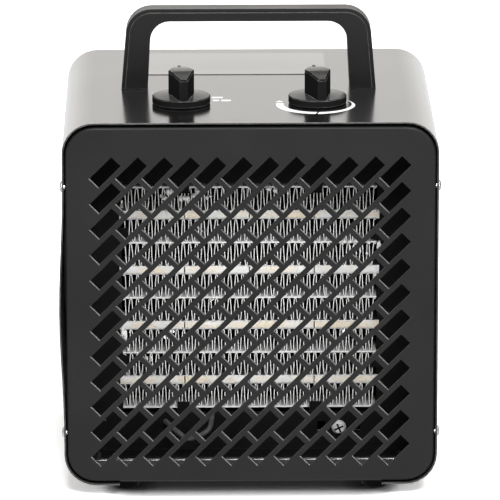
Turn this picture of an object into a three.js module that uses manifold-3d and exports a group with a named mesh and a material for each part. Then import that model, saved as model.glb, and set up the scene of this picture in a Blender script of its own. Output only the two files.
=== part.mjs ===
// Ceramic fan heater: a sheet-steel cube on rubber feet, with a carrying handle and two knobs on
// top, a slotted front grille, a PTC heating core with corrugated aluminium fins, and a fan.
//
// Millimetres, +Z up. The front grille faces -Y. The origin lies on the table, under the middle
// of the whole object's box.

import * as THREE from "three";
import { mergeGeometries, mergeVertices } from "three/addons/utils/BufferGeometryUtils.js";
import Module from "manifold-3d";

const wasm = await Module();
wasm.setup();

// ---------------------------------------------------------------------------------------------
// Driving dimensions
// ---------------------------------------------------------------------------------------------

// Casing
const casingWidth = 200;
const casingHeight = 200;
const casingDepth = 175;
const cornerRadius = 17; // outside bend radius of the casing's four long corners
const wrapSheet = 0.8; // steel of the casing wrap
const panelSheet = 1.0; // steel of the two grilles and the inner plates
const fit = 0.3; // assembly clearance between pieces that touch
const wrapFlange = 12.6; // width of the wrap's flanges under the base plate
const sideBow = 2.1; // the left side springs out by this much halfway between its screws
const footHeight = 7;

// Grille panels
const panelSetback = 0.5; // the wrap's edge stands this proud of each panel
const panelFlange = 11; // depth of the flange that runs round each panel
const panelSideGap = 0.8; // between panel and wrap, at each side
const panelTopGap = 1.8;
const panelBottomGap = 0.9;
const panelBend = 1.3; // outside bend radius between panel face and flange
const slotPitch = 14; // square lattice, with every slot turned by 45 degrees
const slotLength = 16.6;
const slotWidth = 7.2;
const slotMargin = 20; // least distance from panel edge to a slot's centre
const slotDrop = 3.9; // the front pattern sits this far below the casing's middle
const intakeRadius = 76; // the rear slots fill a round field opposite the fan

// Side screws
const sideScrewSpread = 68; // above and below the middle of the slot pattern
const sideScrewSetback = 6; // from the casing's front and rear edges
const screwShank = 3; // diameter
const screwHead = 6.4; // diameter
const screwHeadHeight = 1.2;
const screwLength = 7;

// Base plate and feet
const lipHeight = 10; // turned-up front and rear edges of the base plate
const lipHem = 1.2; // radius of the rolled edge on top of each lip
const footInset = 32.8; // from the casing's side to a foot's axis
const footSetback = 22; // from the casing's front and rear edges to a foot's axis
const footDiameter = 14;
const footStem = 5; // diameter of the stem that pushes through the base
const footHead = 8; // diameter of the stem's barbed head
const footHeadHeight = 2.5;

// Handle
const handleRise = 44.3; // above the casing
const handleInset = 31.1; // from the casing's side to the handle's foot
const handleLean = 3.7; // each leg leans in by this much from foot to top
const handleFootWidth = 14.3;
const handleLegTop = 12.6; // width of a leg where it meets the bar
const handleBar = 6.6; // thickness of the bar
const handleDepth = 13.5;
const handleSetback = 77; // from the casing's front edge
const handleOuterRadius = 14;
const handleInnerRadius = 10.5;
const handleRim = 2; // thickness of the recessed rim round the outside
const handleRimStep = 1.4; // the rim is this much narrower on each side
const handleScrewDepth = 12;

// Knobs, shafts and what they drive
const knobSpacing = 73;
const knobSetback = 45.6; // from the casing's front edge to the knob axes
const knobSkirtDiameter = 31.2;
const knobSkirt = 4.1; // height of the skirt's edge
const knobSkirtRise = 0.9; // the skirt's top slopes up by this much towards the grip
const knobFloat = 0.4; // running gap between skirt and casing
const knobHeight = 17.9; // from the skirt's underside to the crest of the grip
const knobWidth = 14.8; // grip, at its middle
const knobNose = 4.4; // grip, at each end
const knobWaistRadius = 9; // rounds the grip's widest place
const knobCrown = 2.3; // the grip's front end is this much lower than its crest
const knobCrestShift = 1; // the crest lies this far behind the knob's axis
const knobChamfer = 0.8; // round the top of the grip
const knobWall = 1.6;
const knobBore = 11; // depth of the shaft's bore
const pointerDiameter = 1.9;
const pointerHeight = 0.6;
const pointerInset = 2.6; // from the grip's rear end to the middle of the pointer pip
const shaftDiameter = 6;
const shaftFlat = 1.4; // depth of the D-shaped flat
const switchBody = 28; // square
const switchDepth = 19;
const thermostatDiameter = 27;
const thermostatDepth = 16;
const neckDiameter = 10;
const tabWidth = 6.3; // push-on terminals
const tabThickness = 0.8;
const tabLength = 8;
const modeKnobTurn = 5; // degrees, how the knobs stand at rest
const thermostatKnobTurn = 8;

// Heating core
const floorRoom = 26.6; // from the casing's underside to the core
const roofRoom = 48; // least height above the core, for the switch and the thermostat
const stripThickness = 4.9;
const finHeight = 12.5;
const separator = 1.0; // aluminium sheet between the modules
const coreSideRoom = 31.1; // from the casing's side to the core
const coreDepth = 20;
const coreSetback = 55; // from the casing's front edge to the inner plate
const finPitch = 3.6; // one full wave
const finSheet = 0.4;
const coreJoint = 0.05; // bond line between fins, strips and separators
const coreEndWidth = 5;
const coreEndRim = 2; // the end frames stand this far above and below the core
const stripOverhang = 1.5; // strips reach past the fins into the end frames

// Inner plate that carries the core
const windowGap = 2.2; // round the core
const holdTabWidth = 7;
const holdTabReach = 3.6; // how far a tab covers the core
const holdTabSpread = 36; // from the core's middle lines
const carrierRim = 15.5; // plate above the window
const carrierFoot = 14; // bent foot on the base plate
const carrierScrewShift = 48.7;
const carrierScrewRise = 15.8; // above the casing's underside
const carrierScrewHead = 8;
const wireSlotSpread = 9.5; // a small slot on each side of the screw
const wireSlotWidth = 4.4;
const wireSlotHeight = 6.4;

// Fan
const fanSetback = 94; // from the casing's front edge to the middle of the impeller's hub
const fanDiameter = 122;
const fanHub = 30;
const fanHubDepth = 22;
const fanHubChamfer = 3;
const bladeRootSink = 1.5; // how far a blade's root is set into the hub
const bladeCount = 9;
const bladeRootChord = 15;
const bladeTipChord = 50; // the blades overlap, so nothing is seen between them from the front
const bladeSweep = 9;
const bladeCamber = 0.07; // share of the chord
const bladeSheet = 1.4;
const bladeRootAngle = 42; // degrees from the plane of the fan
const bladeTipAngle = 24;
const shroudGap = 1.4; // between blade tips and shroud
const shroudCollar = 8; // depth of the rolled collar
const statorOffset = 27.5; // behind the middle of the impeller's hub
const statorWidth = 58;
const statorDepth = 16;
const statorBore = 25;
const statorWeb = 4; // laminations between bore and window
const statorWindow = 13;
const statorLimb = 8;
const coilLength = 28;
const coilThickness = 6;
const rotorGap = 0.4;
const motorShaft = 4; // diameter
const shaftFit = 0.15;
const nutThickness = 4;
const nutAcrossFlats = 8;
const bracketWidth = 22;
const bracketFoot = 12;
const bracketSheet = 1.2;
const bridgeSpan = 48;
const bridgeSheet = 2.4;
const bridgeFoot = 7;
const bridgeSlope = 5; // how far its legs lean in
const bridgeWidth = 16;
const bridgeRise = 10; // from the stator's back to the rear bearing

// Mains side
const glandReach = 7; // stands out behind the rear panel
const glandDiameter = 18;
const glandNeck = 12;
const glandBore = 8.2;
const glandInset = 34; // from the casing's side
const glandRise = 22; // above the casing's underside
const glandNeckLength = 9;
const glandFlange = 2.5;
const glandTaper = 2; // the snout is this much smaller all round than the flange
const glandNutThickness = 4;
const glandNutAcrossFlats = 16;
const blockShift = 10;
const blockSetback = 34; // from the casing's rear edge
const blockSize = new THREE.Vector3(34, 17, 15);
const cutoutDiameter = 16;
const cutoutDepth = 8;

// ---------------------------------------------------------------------------------------------
// Planes worked out from them
// ---------------------------------------------------------------------------------------------

const rad = THREE.MathUtils.degToRad;
const frontY = -(casingDepth + glandReach - panelSetback) / 2;
const rearY = frontY + casingDepth;
const floorZ = footHeight;
const roofZ = floorZ + casingHeight;
const middleZ = floorZ + casingHeight / 2;
const halfWidth = casingWidth / 2;
const baseZ = floorZ + wrapSheet + fit; // underside of the base plate
const baseTopZ = baseZ + panelSheet;
const patternZ = middleZ - slotDrop;
const controlY = frontY + knobSetback;
const panelHalfWidth = halfWidth - wrapSheet - panelSideGap;
const panelHalfHeight = casingHeight / 2 - wrapSheet - (panelTopGap + panelBottomGap) / 2;
const panelZ = middleZ + (panelBottomGap - panelTopGap) / 2;
const panelRadius = cornerRadius - wrapSheet - panelSideGap;
// Each module is one PTC strip between two fin packs. As many fit as the casing's height allows.
const modulePitch = stripThickness + 2 * finHeight + separator;
const coreRoom = casingHeight - floorRoom - roofRoom - separator;
const moduleCount = Math.floor(coreRoom / modulePitch);
const coreHeight = moduleCount * modulePitch + separator;
const coreWidth = casingWidth - 2 * coreSideRoom;
const coreZ = floorZ + floorRoom + coreHeight / 2;
const coreTopZ = coreZ + coreHeight / 2;
const carrierY = frontY + coreSetback;
const coreY = carrierY + panelSheet + fit;
const fanY = frontY + fanSetback;
const shroudRadius = fanDiameter / 2 + shroudGap;

// ---------------------------------------------------------------------------------------------
// Materials
// ---------------------------------------------------------------------------------------------

const finish = (color, roughness, metalness) => () =>
  new THREE.MeshStandardMaterial({ color, roughness, metalness });
const casingPaint = finish(0x1c1c1c, 0.3, 0.0);
const grillePaint = finish(0x373737, 0.55, 0.0);
const blackPlastic = finish(0x202021, 0.5, 0.0);
const blackRubber = finish(0x141414, 0.85, 0.0);
const innerPaint = finish(0x1a1a1b, 0.6, 0.0);
const zinc = finish(0xc4c6c8, 0.3, 1.0);
const aluminium = finish(0xd9dadb, 0.35, 1.0);
const ceramic = finish(0xe2d6c3, 0.7, 0.0);
const phenolic = finish(0x2a2320, 0.6, 0.0);
const copper = finish(0xb06a3c, 0.4, 1.0);
const laminations = finish(0x77797c, 0.5, 0.9);
const whitePlastic = finish(0xe8e6df, 0.5, 0.0);

// ---------------------------------------------------------------------------------------------
// Geometry helpers
// ---------------------------------------------------------------------------------------------

// A closed three.js geometry as a manifold-3d solid.
function solid(geometry) {
  const bare = geometry.clone();
  bare.deleteAttribute("normal");
  bare.deleteAttribute("uv");
  const merged = mergeVertices(bare, 1e-4);
  return new wasm.Manifold(
    new wasm.Mesh({
      numProp: 3,
      vertProperties: new Float32Array(merged.attributes.position.array),
      triVerts: new Uint32Array(merged.index.array),
    }),
  );
}

// A manifold-3d solid as a three.js geometry.
function surface(manifold) {
  const mesh = manifold.getMesh();
  const geometry = new THREE.BufferGeometry();
  geometry.setAttribute("position", new THREE.BufferAttribute(mesh.vertProperties, 3));
  geometry.setIndex(new THREE.BufferAttribute(mesh.triVerts, 1));
  const flat = geometry.toNonIndexed();
  flat.computeVertexNormals();
  return flat;
}

const join = (first, ...others) =>
  surface(others.reduce((sum, other) => sum.add(solid(other)), solid(first)));
const cut = (first, ...others) =>
  surface(others.reduce((rest, other) => rest.subtract(solid(other)), solid(first)));
const common = (first, second) => surface(solid(first).intersect(solid(second)));

function box(x0, x1, y0, y1, z0, z1) {
  const geometry = new THREE.BoxGeometry(x1 - x0, y1 - y0, z1 - z0);
  return geometry.translate((x0 + x1) / 2, (y0 + y1) / 2, (z0 + z1) / 2);
}

// A cylinder along Z, Y or X, from one place on that axis to another.
function rod(axis, diameter, from, to, at = new THREE.Vector3(), sides = 16) {
  const geometry = new THREE.CylinderGeometry(diameter / 2, diameter / 2, to - from, sides);
  const middle = (from + to) / 2;
  if (axis === "z") geometry.rotateX(Math.PI / 2).translate(0, 0, middle);
  if (axis === "y") geometry.translate(0, middle, 0);
  if (axis === "x") geometry.rotateZ(-Math.PI / 2).translate(middle, 0, 0);
  return geometry.translate(at.x, at.y, at.z);
}

// A profile of [radius, height] pairs turned round the Z axis.
function turned(profile, sides) {
  const points = profile.map(([radius, height]) => new THREE.Vector2(radius, height));
  return new THREE.LatheGeometry(points, sides).rotateX(Math.PI / 2);
}

// Outlines drawn in a plane and pulled out square to it: "y" takes (x, z) outlines, "x" takes
// (y, z) outlines and "z" takes (x, y) outlines.
function pulled(axis, outline, from, to, curveSegments = 4) {
  const options = { depth: to - from, bevelEnabled: false, curveSegments };
  const geometry = new THREE.ExtrudeGeometry(outline, options);
  if (axis === "y") return geometry.rotateX(Math.PI / 2).translate(0, to, 0);
  if (axis === "z") return geometry.translate(0, 0, from);
  const [along, up, out] = [[0, 1, 0], [0, 0, 1], [1, 0, 0]].map((v) => new THREE.Vector3(...v));
  const turn = new THREE.Matrix4().makeBasis(along, up, out);
  return geometry.applyMatrix4(turn).translate(from, 0, 0);
}

// A closed outline through corner points [x, y, radius], each rounded by an arc of its radius.
function rounded(corners, path = new THREE.Shape()) {
  const count = corners.length;
  corners.forEach(([x, y, radius = 0], i) => {
    const here = new THREE.Vector2(x, y);
    const [before, after] = [count - 1, 1].map((step) => {
      const [px, py] = corners[(i + step) % count];
      return new THREE.Vector2(px, py).sub(here).normalize();
    });
    const half = Math.acos(THREE.MathUtils.clamp(before.dot(after), -1, 1)) / 2;
    const reach = radius / Math.tan(half);
    const start = here.clone().addScaledVector(before, reach);
    if (i === 0) path.moveTo(start.x, start.y);
    else path.lineTo(start.x, start.y);
    if (!radius) return;
    const inward = before.clone().add(after).normalize();
    const centre = here.clone().addScaledVector(inward, radius / Math.sin(half));
    const end = here.clone().addScaledVector(after, reach);
    const angle = (point) => Math.atan2(point.y - centre.y, point.x - centre.x);
    const clockwise = before.cross(after) > 0;
    path.absarc(centre.x, centre.y, radius, angle(start), angle(end), clockwise);
  });
  path.closePath();
  return path;
}

// The outline of a bent strip: a path of [x, y] points, thickened towards its left.
function bent(points, thickness) {
  const path = points.map(([x, y]) => new THREE.Vector2(x, y));
  const normals = path.slice(1).map((point, i) => {
    const along = point.clone().sub(path[i]).normalize();
    return new THREE.Vector2(-along.y, along.x);
  });
  const far = path.map((point, i) => {
    const after = normals[Math.min(i, normals.length - 1)];
    const mitre = normals[Math.max(i - 1, 0)].clone().add(after).normalize();
    return point.clone().addScaledVector(mitre, thickness / mitre.dot(after));
  });
  return new THREE.Shape([...path, ...far.reverse()]);
}

const rectangle = (x0, x1, y0, y1, radius = 0) =>
  rounded([[x1, y0, radius], [x1, y1, radius], [x0, y1, radius], [x0, y0, radius]]);

// A ring of points round a rounded rectangle in the XZ plane.
function ring(halfX, halfZ, radius, y, steps = 6) {
  const points = [];
  for (const [quarter, sx, sz] of [[0, 1, 1], [1, -1, 1], [2, -1, -1], [3, 1, -1]])
    for (let step = 0; step <= steps; step++) {
      const angle = (quarter + step / steps) * (Math.PI / 2);
      const x = sx * (halfX - radius) + radius * Math.cos(angle);
      const z = sz * (halfZ - radius) + radius * Math.sin(angle);
      points.push(new THREE.Vector3(x, y, z));
    }
  return points;
}

// A closed surface through rings of equal length, closed by a flat cap on the first and last.
function shell(rings) {
  const count = rings[0].length;
  const index = [];
  const flatten = (points) => points.map((p) => new THREE.Vector2(p.x, p.z));
  for (const [a, b, c] of THREE.ShapeUtils.triangulateShape(flatten(rings[0]), []))
    index.push(a, b, c);
  for (let i = 0; i + 1 < rings.length; i++)
    for (let j = 0; j < count; j++) {
      const a = i * count + j;
      const b = i * count + ((j + 1) % count);
      index.push(a, b + count, b, a, a + count, b + count);
    }
  const last = (rings.length - 1) * count;
  for (const [a, b, c] of THREE.ShapeUtils.triangulateShape(flatten(rings.at(-1)), []))
    index.push(last + a, last + c, last + b);
  const geometry = new THREE.BufferGeometry().setFromPoints(rings.flat());
  geometry.setIndex(index);
  return geometry;
}

const root = new THREE.Group();

function piece(group, name, geometry, material) {
  const mesh = new THREE.Mesh(geometry, material());
  mesh.name = name;
  group.add(mesh);
  return mesh;
}

function subassembly(parent = root) {
  const group = new THREE.Group();
  parent.add(group);
  return group;
}

// A pan-head screw that points along +Z, with its head's seat at the origin.
function screw(head, headHeight, shank, length, sides = 8) {
  const crown = 0.35 * headHeight;
  return turned(
    [
      [0, -headHeight],
      [head * 0.36, -headHeight],
      [head / 2, -headHeight + crown + 0.1 * head],
      [head / 2, 0],
      [shank / 2, 0],
      [shank / 2, length - shank / 2],
      [0, length],
    ],
    sides,
  );
}

// ---------------------------------------------------------------------------------------------
// Casing
// ---------------------------------------------------------------------------------------------

const sides = [-1, 1];
const footPlaces = sides.flatMap((sy) =>
  sides.map((sx) => ({
    name: `foot_${sy < 0 ? "front" : "rear"}_${sx < 0 ? "left" : "right"}`,
    x: sx * (halfWidth - footInset),
    y: sy < 0 ? frontY + footSetback : rearY - footSetback,
  })),
);
const sideScrewPlaces = [["front", frontY + sideScrewSetback], ["rear", rearY - sideScrewSetback]]
  .flatMap(([end, y]) =>
    [["upper", 1], ["lower", -1]].flatMap(([level, sz]) =>
      [["left", -1], ["right", 1]].map(([side, sx]) => ({
        name: `side_screw_${end}_${level}_${side}`,
        sx,
        y,
        z: patternZ + sz * sideScrewSpread,
      })),
    ),
  );
const knobPlaces = sides.map((sx) => (sx * knobSpacing) / 2);
const handleFootX = halfWidth - handleInset - handleFootWidth / 2;
const handleY = frontY + handleSetback + handleDepth / 2;
const holeDiameter = (shank) => shank + 2 * fit;

// Holes through the casing's sides and the panels' flanges for the side screws.
function sideScrewHoles() {
  return sideScrewPlaces.map(({ sx, y, z }) => {
    const [from, to] = [sx * (halfWidth - 6), sx * (halfWidth + 1)].sort((a, b) => a - b);
    return rod("x", holeDiameter(screwShank), from, to, new THREE.Vector3(0, y, z), 10);
  });
}

// Points down the casing's left side, from its upper screws to its lower ones. Nothing holds the
// sheet between them, and it bows outwards.
function leftSide(x) {
  const steps = 10;
  return Array.from({ length: steps + 1 }, (_, i) => {
    const along = i / steps;
    const out = (sideBow * (1 - Math.cos(2 * Math.PI * along))) / 2;
    return [-x - out, patternZ + (1 - 2 * along) * sideScrewSpread];
  });
}

// Bent from one sheet: roof, sides and two flanges that carry the base plate.
function casingWrap() {
  const flangeEnd = halfWidth - cornerRadius - wrapFlange;
  const outside = cornerRadius;
  const inside = cornerRadius - wrapSheet;
  const [x, z0, z1] = [halfWidth, floorZ, roofZ];
  const [ix, iz0, iz1] = [x - wrapSheet, z0 + wrapSheet, z1 - wrapSheet];
  const outline = rounded([
    [flangeEnd, z0], [x, z0, outside], [x, z1, outside],
    [-x, z1, outside], ...leftSide(x), [-x, z0, outside],
    [-flangeEnd, z0], [-flangeEnd, iz0],
    [-ix, iz0, inside], ...leftSide(ix).reverse(), [-ix, iz1, inside],
    [ix, iz1, inside], [ix, iz0, inside], [flangeEnd, iz0],
  ]);
  const through = (diameter, px, py, z) =>
    rod("z", diameter, z - 2, z + 2, new THREE.Vector3(px, py, 0), 14);
  const holes = [
    ...knobPlaces.map((px) => through(neckDiameter + 2 * fit, px, controlY, roofZ)),
    ...sides.map((s) => through(holeDiameter(screwShank + 1), s * handleFootX, handleY, roofZ)),
    ...footPlaces.map(({ x: px, y: py }) => through(holeDiameter(footStem), px, py, floorZ)),
    ...sideScrewHoles(),
  ];
  return cut(pulled("y", outline, frontY, rearY), ...holes);
}

// A dished sheet panel that faces -Y, with a bent flange all round. Its face lies at y = 0.
function panel() {
  const bendSteps = 3;
  const inset = (amount, y) =>
    ring(panelHalfWidth - amount, panelHalfHeight - amount, panelRadius - amount, y);
  const rings = [];
  for (let step = 0; step <= bendSteps; step++) {
    const angle = (step / bendSteps) * (Math.PI / 2);
    rings.push(inset(panelBend * (1 - Math.sin(angle)), panelBend * (1 - Math.cos(angle))));
  }
  rings.push(inset(0, panelFlange), inset(panelSheet, panelFlange), inset(panelSheet, panelSheet));
  return shell(rings);
}

// The places of a square lattice of slots, each slot turned by 45 degrees: a basket weave.
function lattice(centreZ, keep) {
  const columns = 1 + Math.floor((2 * (panelHalfWidth - slotMargin)) / slotPitch);
  const rows = 1 + Math.floor((2 * (panelHalfHeight - slotMargin)) / slotPitch);
  const places = [];
  for (let row = 0; row < rows; row++)
    for (let column = 0; column < columns; column++) {
      const x = (column - (columns - 1) / 2) * slotPitch;
      const z = ((rows - 1) / 2 - row) * slotPitch;
      if (keep(x, z)) places.push([x, centreZ + z]);
    }
  return places;
}

function slotCutter(places) {
  const slots = places.map(([x, z]) =>
    new THREE.BoxGeometry(slotLength, 4 * panelSheet, slotWidth)
      .rotateY(-Math.PI / 4)
      .translate(x, 0, z),
  );
  return mergeGeometries(slots);
}

function grille(places) {
  return cut(panel(), slotCutter(places));
}

function frontGrille() {
  const slotted = grille(lattice(patternZ - panelZ, () => true));
  return cut(slotted.translate(0, frontY + panelSetback, panelZ), ...sideScrewHoles());
}

function rearGrille() {
  const fanRise = coreZ - panelZ;
  const slotted = grille(lattice(fanRise, (x, z) => Math.hypot(x, z) < intakeRadius));
  const placed = slotted.rotateZ(Math.PI).translate(0, rearY - panelSetback, panelZ);
  const glandHole = rod("y", glandNeck + 2 * fit, rearY - 4, rearY + 4, glandPlace(), 20);
  return cut(placed, glandHole, ...sideScrewHoles());
}

function glandPlace() {
  return new THREE.Vector3(halfWidth - glandInset, 0, floorZ + glandRise);
}

// A tray that lies on the wrap's flanges, with a lip turned up at the front and the rear.
function basePlate() {
  const reach = panelSetback + panelFlange + fit;
  const [y0, y1] = [frontY + reach, rearY - reach];
  const halfX = halfWidth - cornerRadius;
  const lipTop = baseZ + lipHeight;
  const hem = 2 * lipHem;
  const under = lipTop - 3 * lipHem;
  const outline = rounded([
    [y0, baseZ], [y1, baseZ],
    [y1, lipTop, lipHem], [y1 - hem, lipTop, lipHem], [y1 - hem, under], [y1 - panelSheet, under],
    [y1 - panelSheet, baseTopZ], [y0 + panelSheet, baseTopZ],
    [y0 + panelSheet, under], [y0 + hem, under], [y0 + hem, lipTop, lipHem], [y0, lipTop, lipHem],
  ]);
  const holes = footPlaces.map(({ x, y }) =>
    rod("z", holeDiameter(footStem), baseZ - 1, baseTopZ + 1, new THREE.Vector3(x, y, 0), 14),
  );
  return cut(pulled("x", outline, -halfX, halfX, 2), ...holes);
}

// A rubber foot whose stem pushes up through wrap and base plate and snaps in.
function foot() {
  const radius = footDiameter / 2;
  const headBase = baseTopZ + fit;
  return turned(
    [
      [0, 1],
      [radius * 0.45, 1],
      [radius * 0.55, 0],
      [radius - 0.8, 0],
      [radius, 0.8],
      [radius + 0.6, floorZ - fit],
      [footStem / 2, floorZ - fit],
      [footStem / 2, headBase],
      [footHead / 2, headBase],
      [footStem / 2, headBase + footHeadHeight],
      [0, headBase + footHeadHeight],
    ],
    12,
  );
}

function buildCasing() {
  const casing = subassembly();
  piece(casing, "casing_wrap", casingWrap(), casingPaint);
  piece(casing, "front_grille", frontGrille(), grillePaint);
  piece(casing, "rear_grille", rearGrille(), grillePaint);
  piece(casing, "base_plate", basePlate(), casingPaint);
  for (const { name, x, y } of footPlaces)
    piece(casing, name, foot(), blackRubber).position.set(x, y, 0);
  for (const { name, sx, y, z } of sideScrewPlaces) {
    const shape = screw(screwHead, screwHeadHeight, screwShank, screwLength);
    const mesh = piece(casing, name, shape, zinc);
    mesh.rotation.y = (-sx * Math.PI) / 2;
    mesh.position.set(sx * (halfWidth + 0.1), y, z);
  }
}

// ---------------------------------------------------------------------------------------------
// Handle
// ---------------------------------------------------------------------------------------------

// The handle's outline, drawn `inset` inside its outer edge. The inner edge stays where it is.
function handleOutline(inset) {
  const footZ = roofZ + fit;
  const topZ = roofZ + handleRise;
  const outerFoot = halfWidth - handleInset - inset;
  const outerTop = outerFoot - handleLean;
  const innerFoot = halfWidth - handleInset - handleFootWidth;
  const innerTop = halfWidth - handleInset - handleLean - handleLegTop;
  const radius = handleOuterRadius - inset;
  const barZ = topZ - handleBar;
  return rounded([
    [outerFoot, footZ], [outerTop, topZ - inset, radius],
    [-outerTop, topZ - inset, radius], [-outerFoot, footZ],
    [-innerFoot, footZ], [-innerTop, barZ, handleInnerRadius],
    [innerTop, barZ, handleInnerRadius], [innerFoot, footZ],
  ]);
}

function handle() {
  const y0 = frontY + handleSetback;
  const y1 = y0 + handleDepth;
  const rim = pulled("y", handleOutline(0), y0 + handleRimStep, y1 - handleRimStep);
  const body = pulled("y", handleOutline(handleRim), y0, y1);
  const bores = sides.map((s) =>
    rod("z", holeDiameter(screwShank + 1), roofZ - 1, roofZ + handleScrewDepth + 1,
      new THREE.Vector3(s * handleFootX, handleY, 0), 10),
  );
  return cut(join(rim, body), ...bores);
}

function buildHandle() {
  const group = subassembly();
  piece(group, "handle", handle(), blackPlastic);
  for (const [name, s] of [["handle_screw_left", -1], ["handle_screw_right", 1]]) {
    const shape = screw(screwHead + 2, 2.4, screwShank + 1, handleScrewDepth);
    piece(group, name, shape, zinc).position.set(s * handleFootX, handleY, roofZ - wrapSheet - fit);
  }
}

// ---------------------------------------------------------------------------------------------
// Knobs and controls
// ---------------------------------------------------------------------------------------------

const boreDiameter = shaftDiameter + 2 * fit;
const gripZ = knobSkirt + knobSkirtRise;

// Built with its axis on Z and the skirt's underside at z = 0. The pointer end faces +Y.
function knob() {
  const radius = knobSkirtDiameter / 2;
  const edge = 0.4;
  const skirt = turned(
    [
      [0, knobSkirt - knobWall],
      [radius - knobWall, knobSkirt - knobWall],
      [radius - knobWall, 0],
      [radius - edge, 0],
      [radius, edge],
      [radius, knobSkirt - edge],
      [radius - edge, knobSkirt],
      [knobWidth / 2, gripZ],
      [0, gripZ],
    ],
    32,
  );
  const reach = radius - edge;
  const [half, nose] = [knobWidth / 2, knobNose / 2];
  const plan = rounded([
    [nose, -reach, 0.6], [half, 0, knobWaistRadius], [nose, reach, 0.6],
    [-nose, reach, 0.6], [-half, 0, knobWaistRadius], [-nose, -reach, 0.6],
  ]);
  const fall = reach + knobCrestShift;
  const crownRadius = (fall ** 2 + knobCrown ** 2) / (2 * knobCrown);
  const crown = new THREE.CylinderGeometry(crownRadius, crownRadius, knobSkirtDiameter, 96)
    .rotateZ(Math.PI / 2)
    .translate(0, knobCrestShift, knobHeight - crownRadius);
  // The crown is leant down over each side of the grip in turn, which chamfers its top edge.
  const flank = new THREE.Vector2(reach, half - nose).normalize();
  const faces = [
    { normal: new THREE.Vector2(0, 1), reach },
    { normal: new THREE.Vector2(0, -1), reach },
    ...[[1, 1], [1, -1], [-1, 1], [-1, -1]].map(([sx, sy]) => ({
      normal: new THREE.Vector2(sx * flank.x, sy * flank.y),
      reach: half * flank.x,
    })),
  ];
  const leant = faces.map(({ normal, reach: out }) => {
    const lean = new THREE.Matrix4().set(
      1, 0, 0, 0,
      0, 1, 0, 0,
      -normal.x, -normal.y, 1, out - knobChamfer,
      0, 0, 0, 1,
    );
    return crown.clone().applyMatrix4(lean);
  });
  const block = pulled("z", plan, knobSkirt - knobWall / 2, knobHeight + 1, 2);
  const grip = [crown, ...leant].reduce((rest, limit) => common(rest, limit), block);
  const bossBase = neckTopZ + fit - knobFloat;
  const boss = rod("z", boreDiameter + 2 * knobWall, bossBase, knobSkirt, undefined, 20);
  const bore = rod("z", boreDiameter, -1, knobBore, undefined, 20);
  const pointerY = reach - pointerInset;
  const pointerZ = knobHeight - (pointerY - knobCrestShift) ** 2 / (2 * crownRadius);
  const pointer = turned(
    [
      [0, -1],
      [pointerDiameter / 2, -1],
      [pointerDiameter / 2, pointerHeight * 0.5],
      [pointerDiameter * 0.3, pointerHeight],
      [0, pointerHeight],
    ],
    10,
  ).translate(0, pointerY, pointerZ);
  return cut(join(skirt, grip, boss, pointer), bore);
}

// A D-shaped shaft along Z, from a place inside the switch or thermostat up into the knob.
function shaft(from, to) {
  const radius = shaftDiameter / 2;
  const flatY = radius - shaftFlat;
  const angle = Math.asin(flatY / radius);
  const outline = new THREE.Shape();
  outline.absarc(0, 0, radius, Math.PI - angle, 2 * Math.PI + angle, false);
  outline.closePath();
  return pulled("z", outline, from, to, 8);
}

function terminalTabs(count, spacing, z) {
  return Array.from({ length: count }, (_, i) => {
    const x = (i - (count - 1) / 2) * spacing;
    return box(x - tabThickness / 2, x + tabThickness / 2, -tabWidth / 2, tabWidth / 2,
      z - tabLength, z + 1);
  });
}

const controlTopZ = -wrapSheet - fit; // measured from the roof
const neckTopZ = 1.2;
const shaftDip = 9; // how far a shaft reaches into its switch or thermostat

function withShaftBore(body) {
  return cut(body, rod("z", boreDiameter, controlTopZ - shaftDip - 1, neckTopZ + 1, undefined, 16));
}

function modeSwitch() {
  const half = switchBody / 2;
  const bodyBase = controlTopZ - switchDepth;
  const body = pulled("z", rectangle(-half, half, -half, half, 2), bodyBase, controlTopZ, 1);
  const neck = rod("z", neckDiameter, controlTopZ - 1, neckTopZ, undefined, 16);
  return withShaftBore(join(body, neck, ...terminalTabs(4, 6.5, bodyBase)));
}

function thermostat() {
  const bodyBase = controlTopZ - thermostatDepth;
  const frame = box(-thermostatDiameter / 2, thermostatDiameter / 2, -7, 7, controlTopZ - 3,
    controlTopZ);
  const body = rod("z", thermostatDiameter - 4, bodyBase, controlTopZ - 2, undefined, 20);
  const neck = rod("z", neckDiameter, controlTopZ - 1, neckTopZ, undefined, 16);
  return withShaftBore(join(body, frame, neck, ...terminalTabs(2, 13, bodyBase)));
}

function buildControls() {
  const controls = [
    ["mode", "mode_switch", modeSwitch, phenolic, knobPlaces[0], modeKnobTurn],
    ["thermostat", "thermostat_body", thermostat, phenolic, knobPlaces[1], thermostatKnobTurn],
  ];
  for (const [name, bodyName, body, material, x, turn] of controls) {
    const group = subassembly();
    group.position.set(x, controlY, roofZ);
    piece(group, bodyName, body(), material);
    const moving = subassembly(group);
    moving.rotation.z = rad(turn);
    const seat = piece(moving, `${name}_knob`, knob(), blackPlastic);
    seat.position.z = knobFloat;
    const shaftTop = knobFloat + knobBore - fit;
    piece(moving, `${name}_shaft`, shaft(controlTopZ - shaftDip, shaftTop), zinc);
  }
}

// ---------------------------------------------------------------------------------------------
// Heating core
// ---------------------------------------------------------------------------------------------

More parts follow.
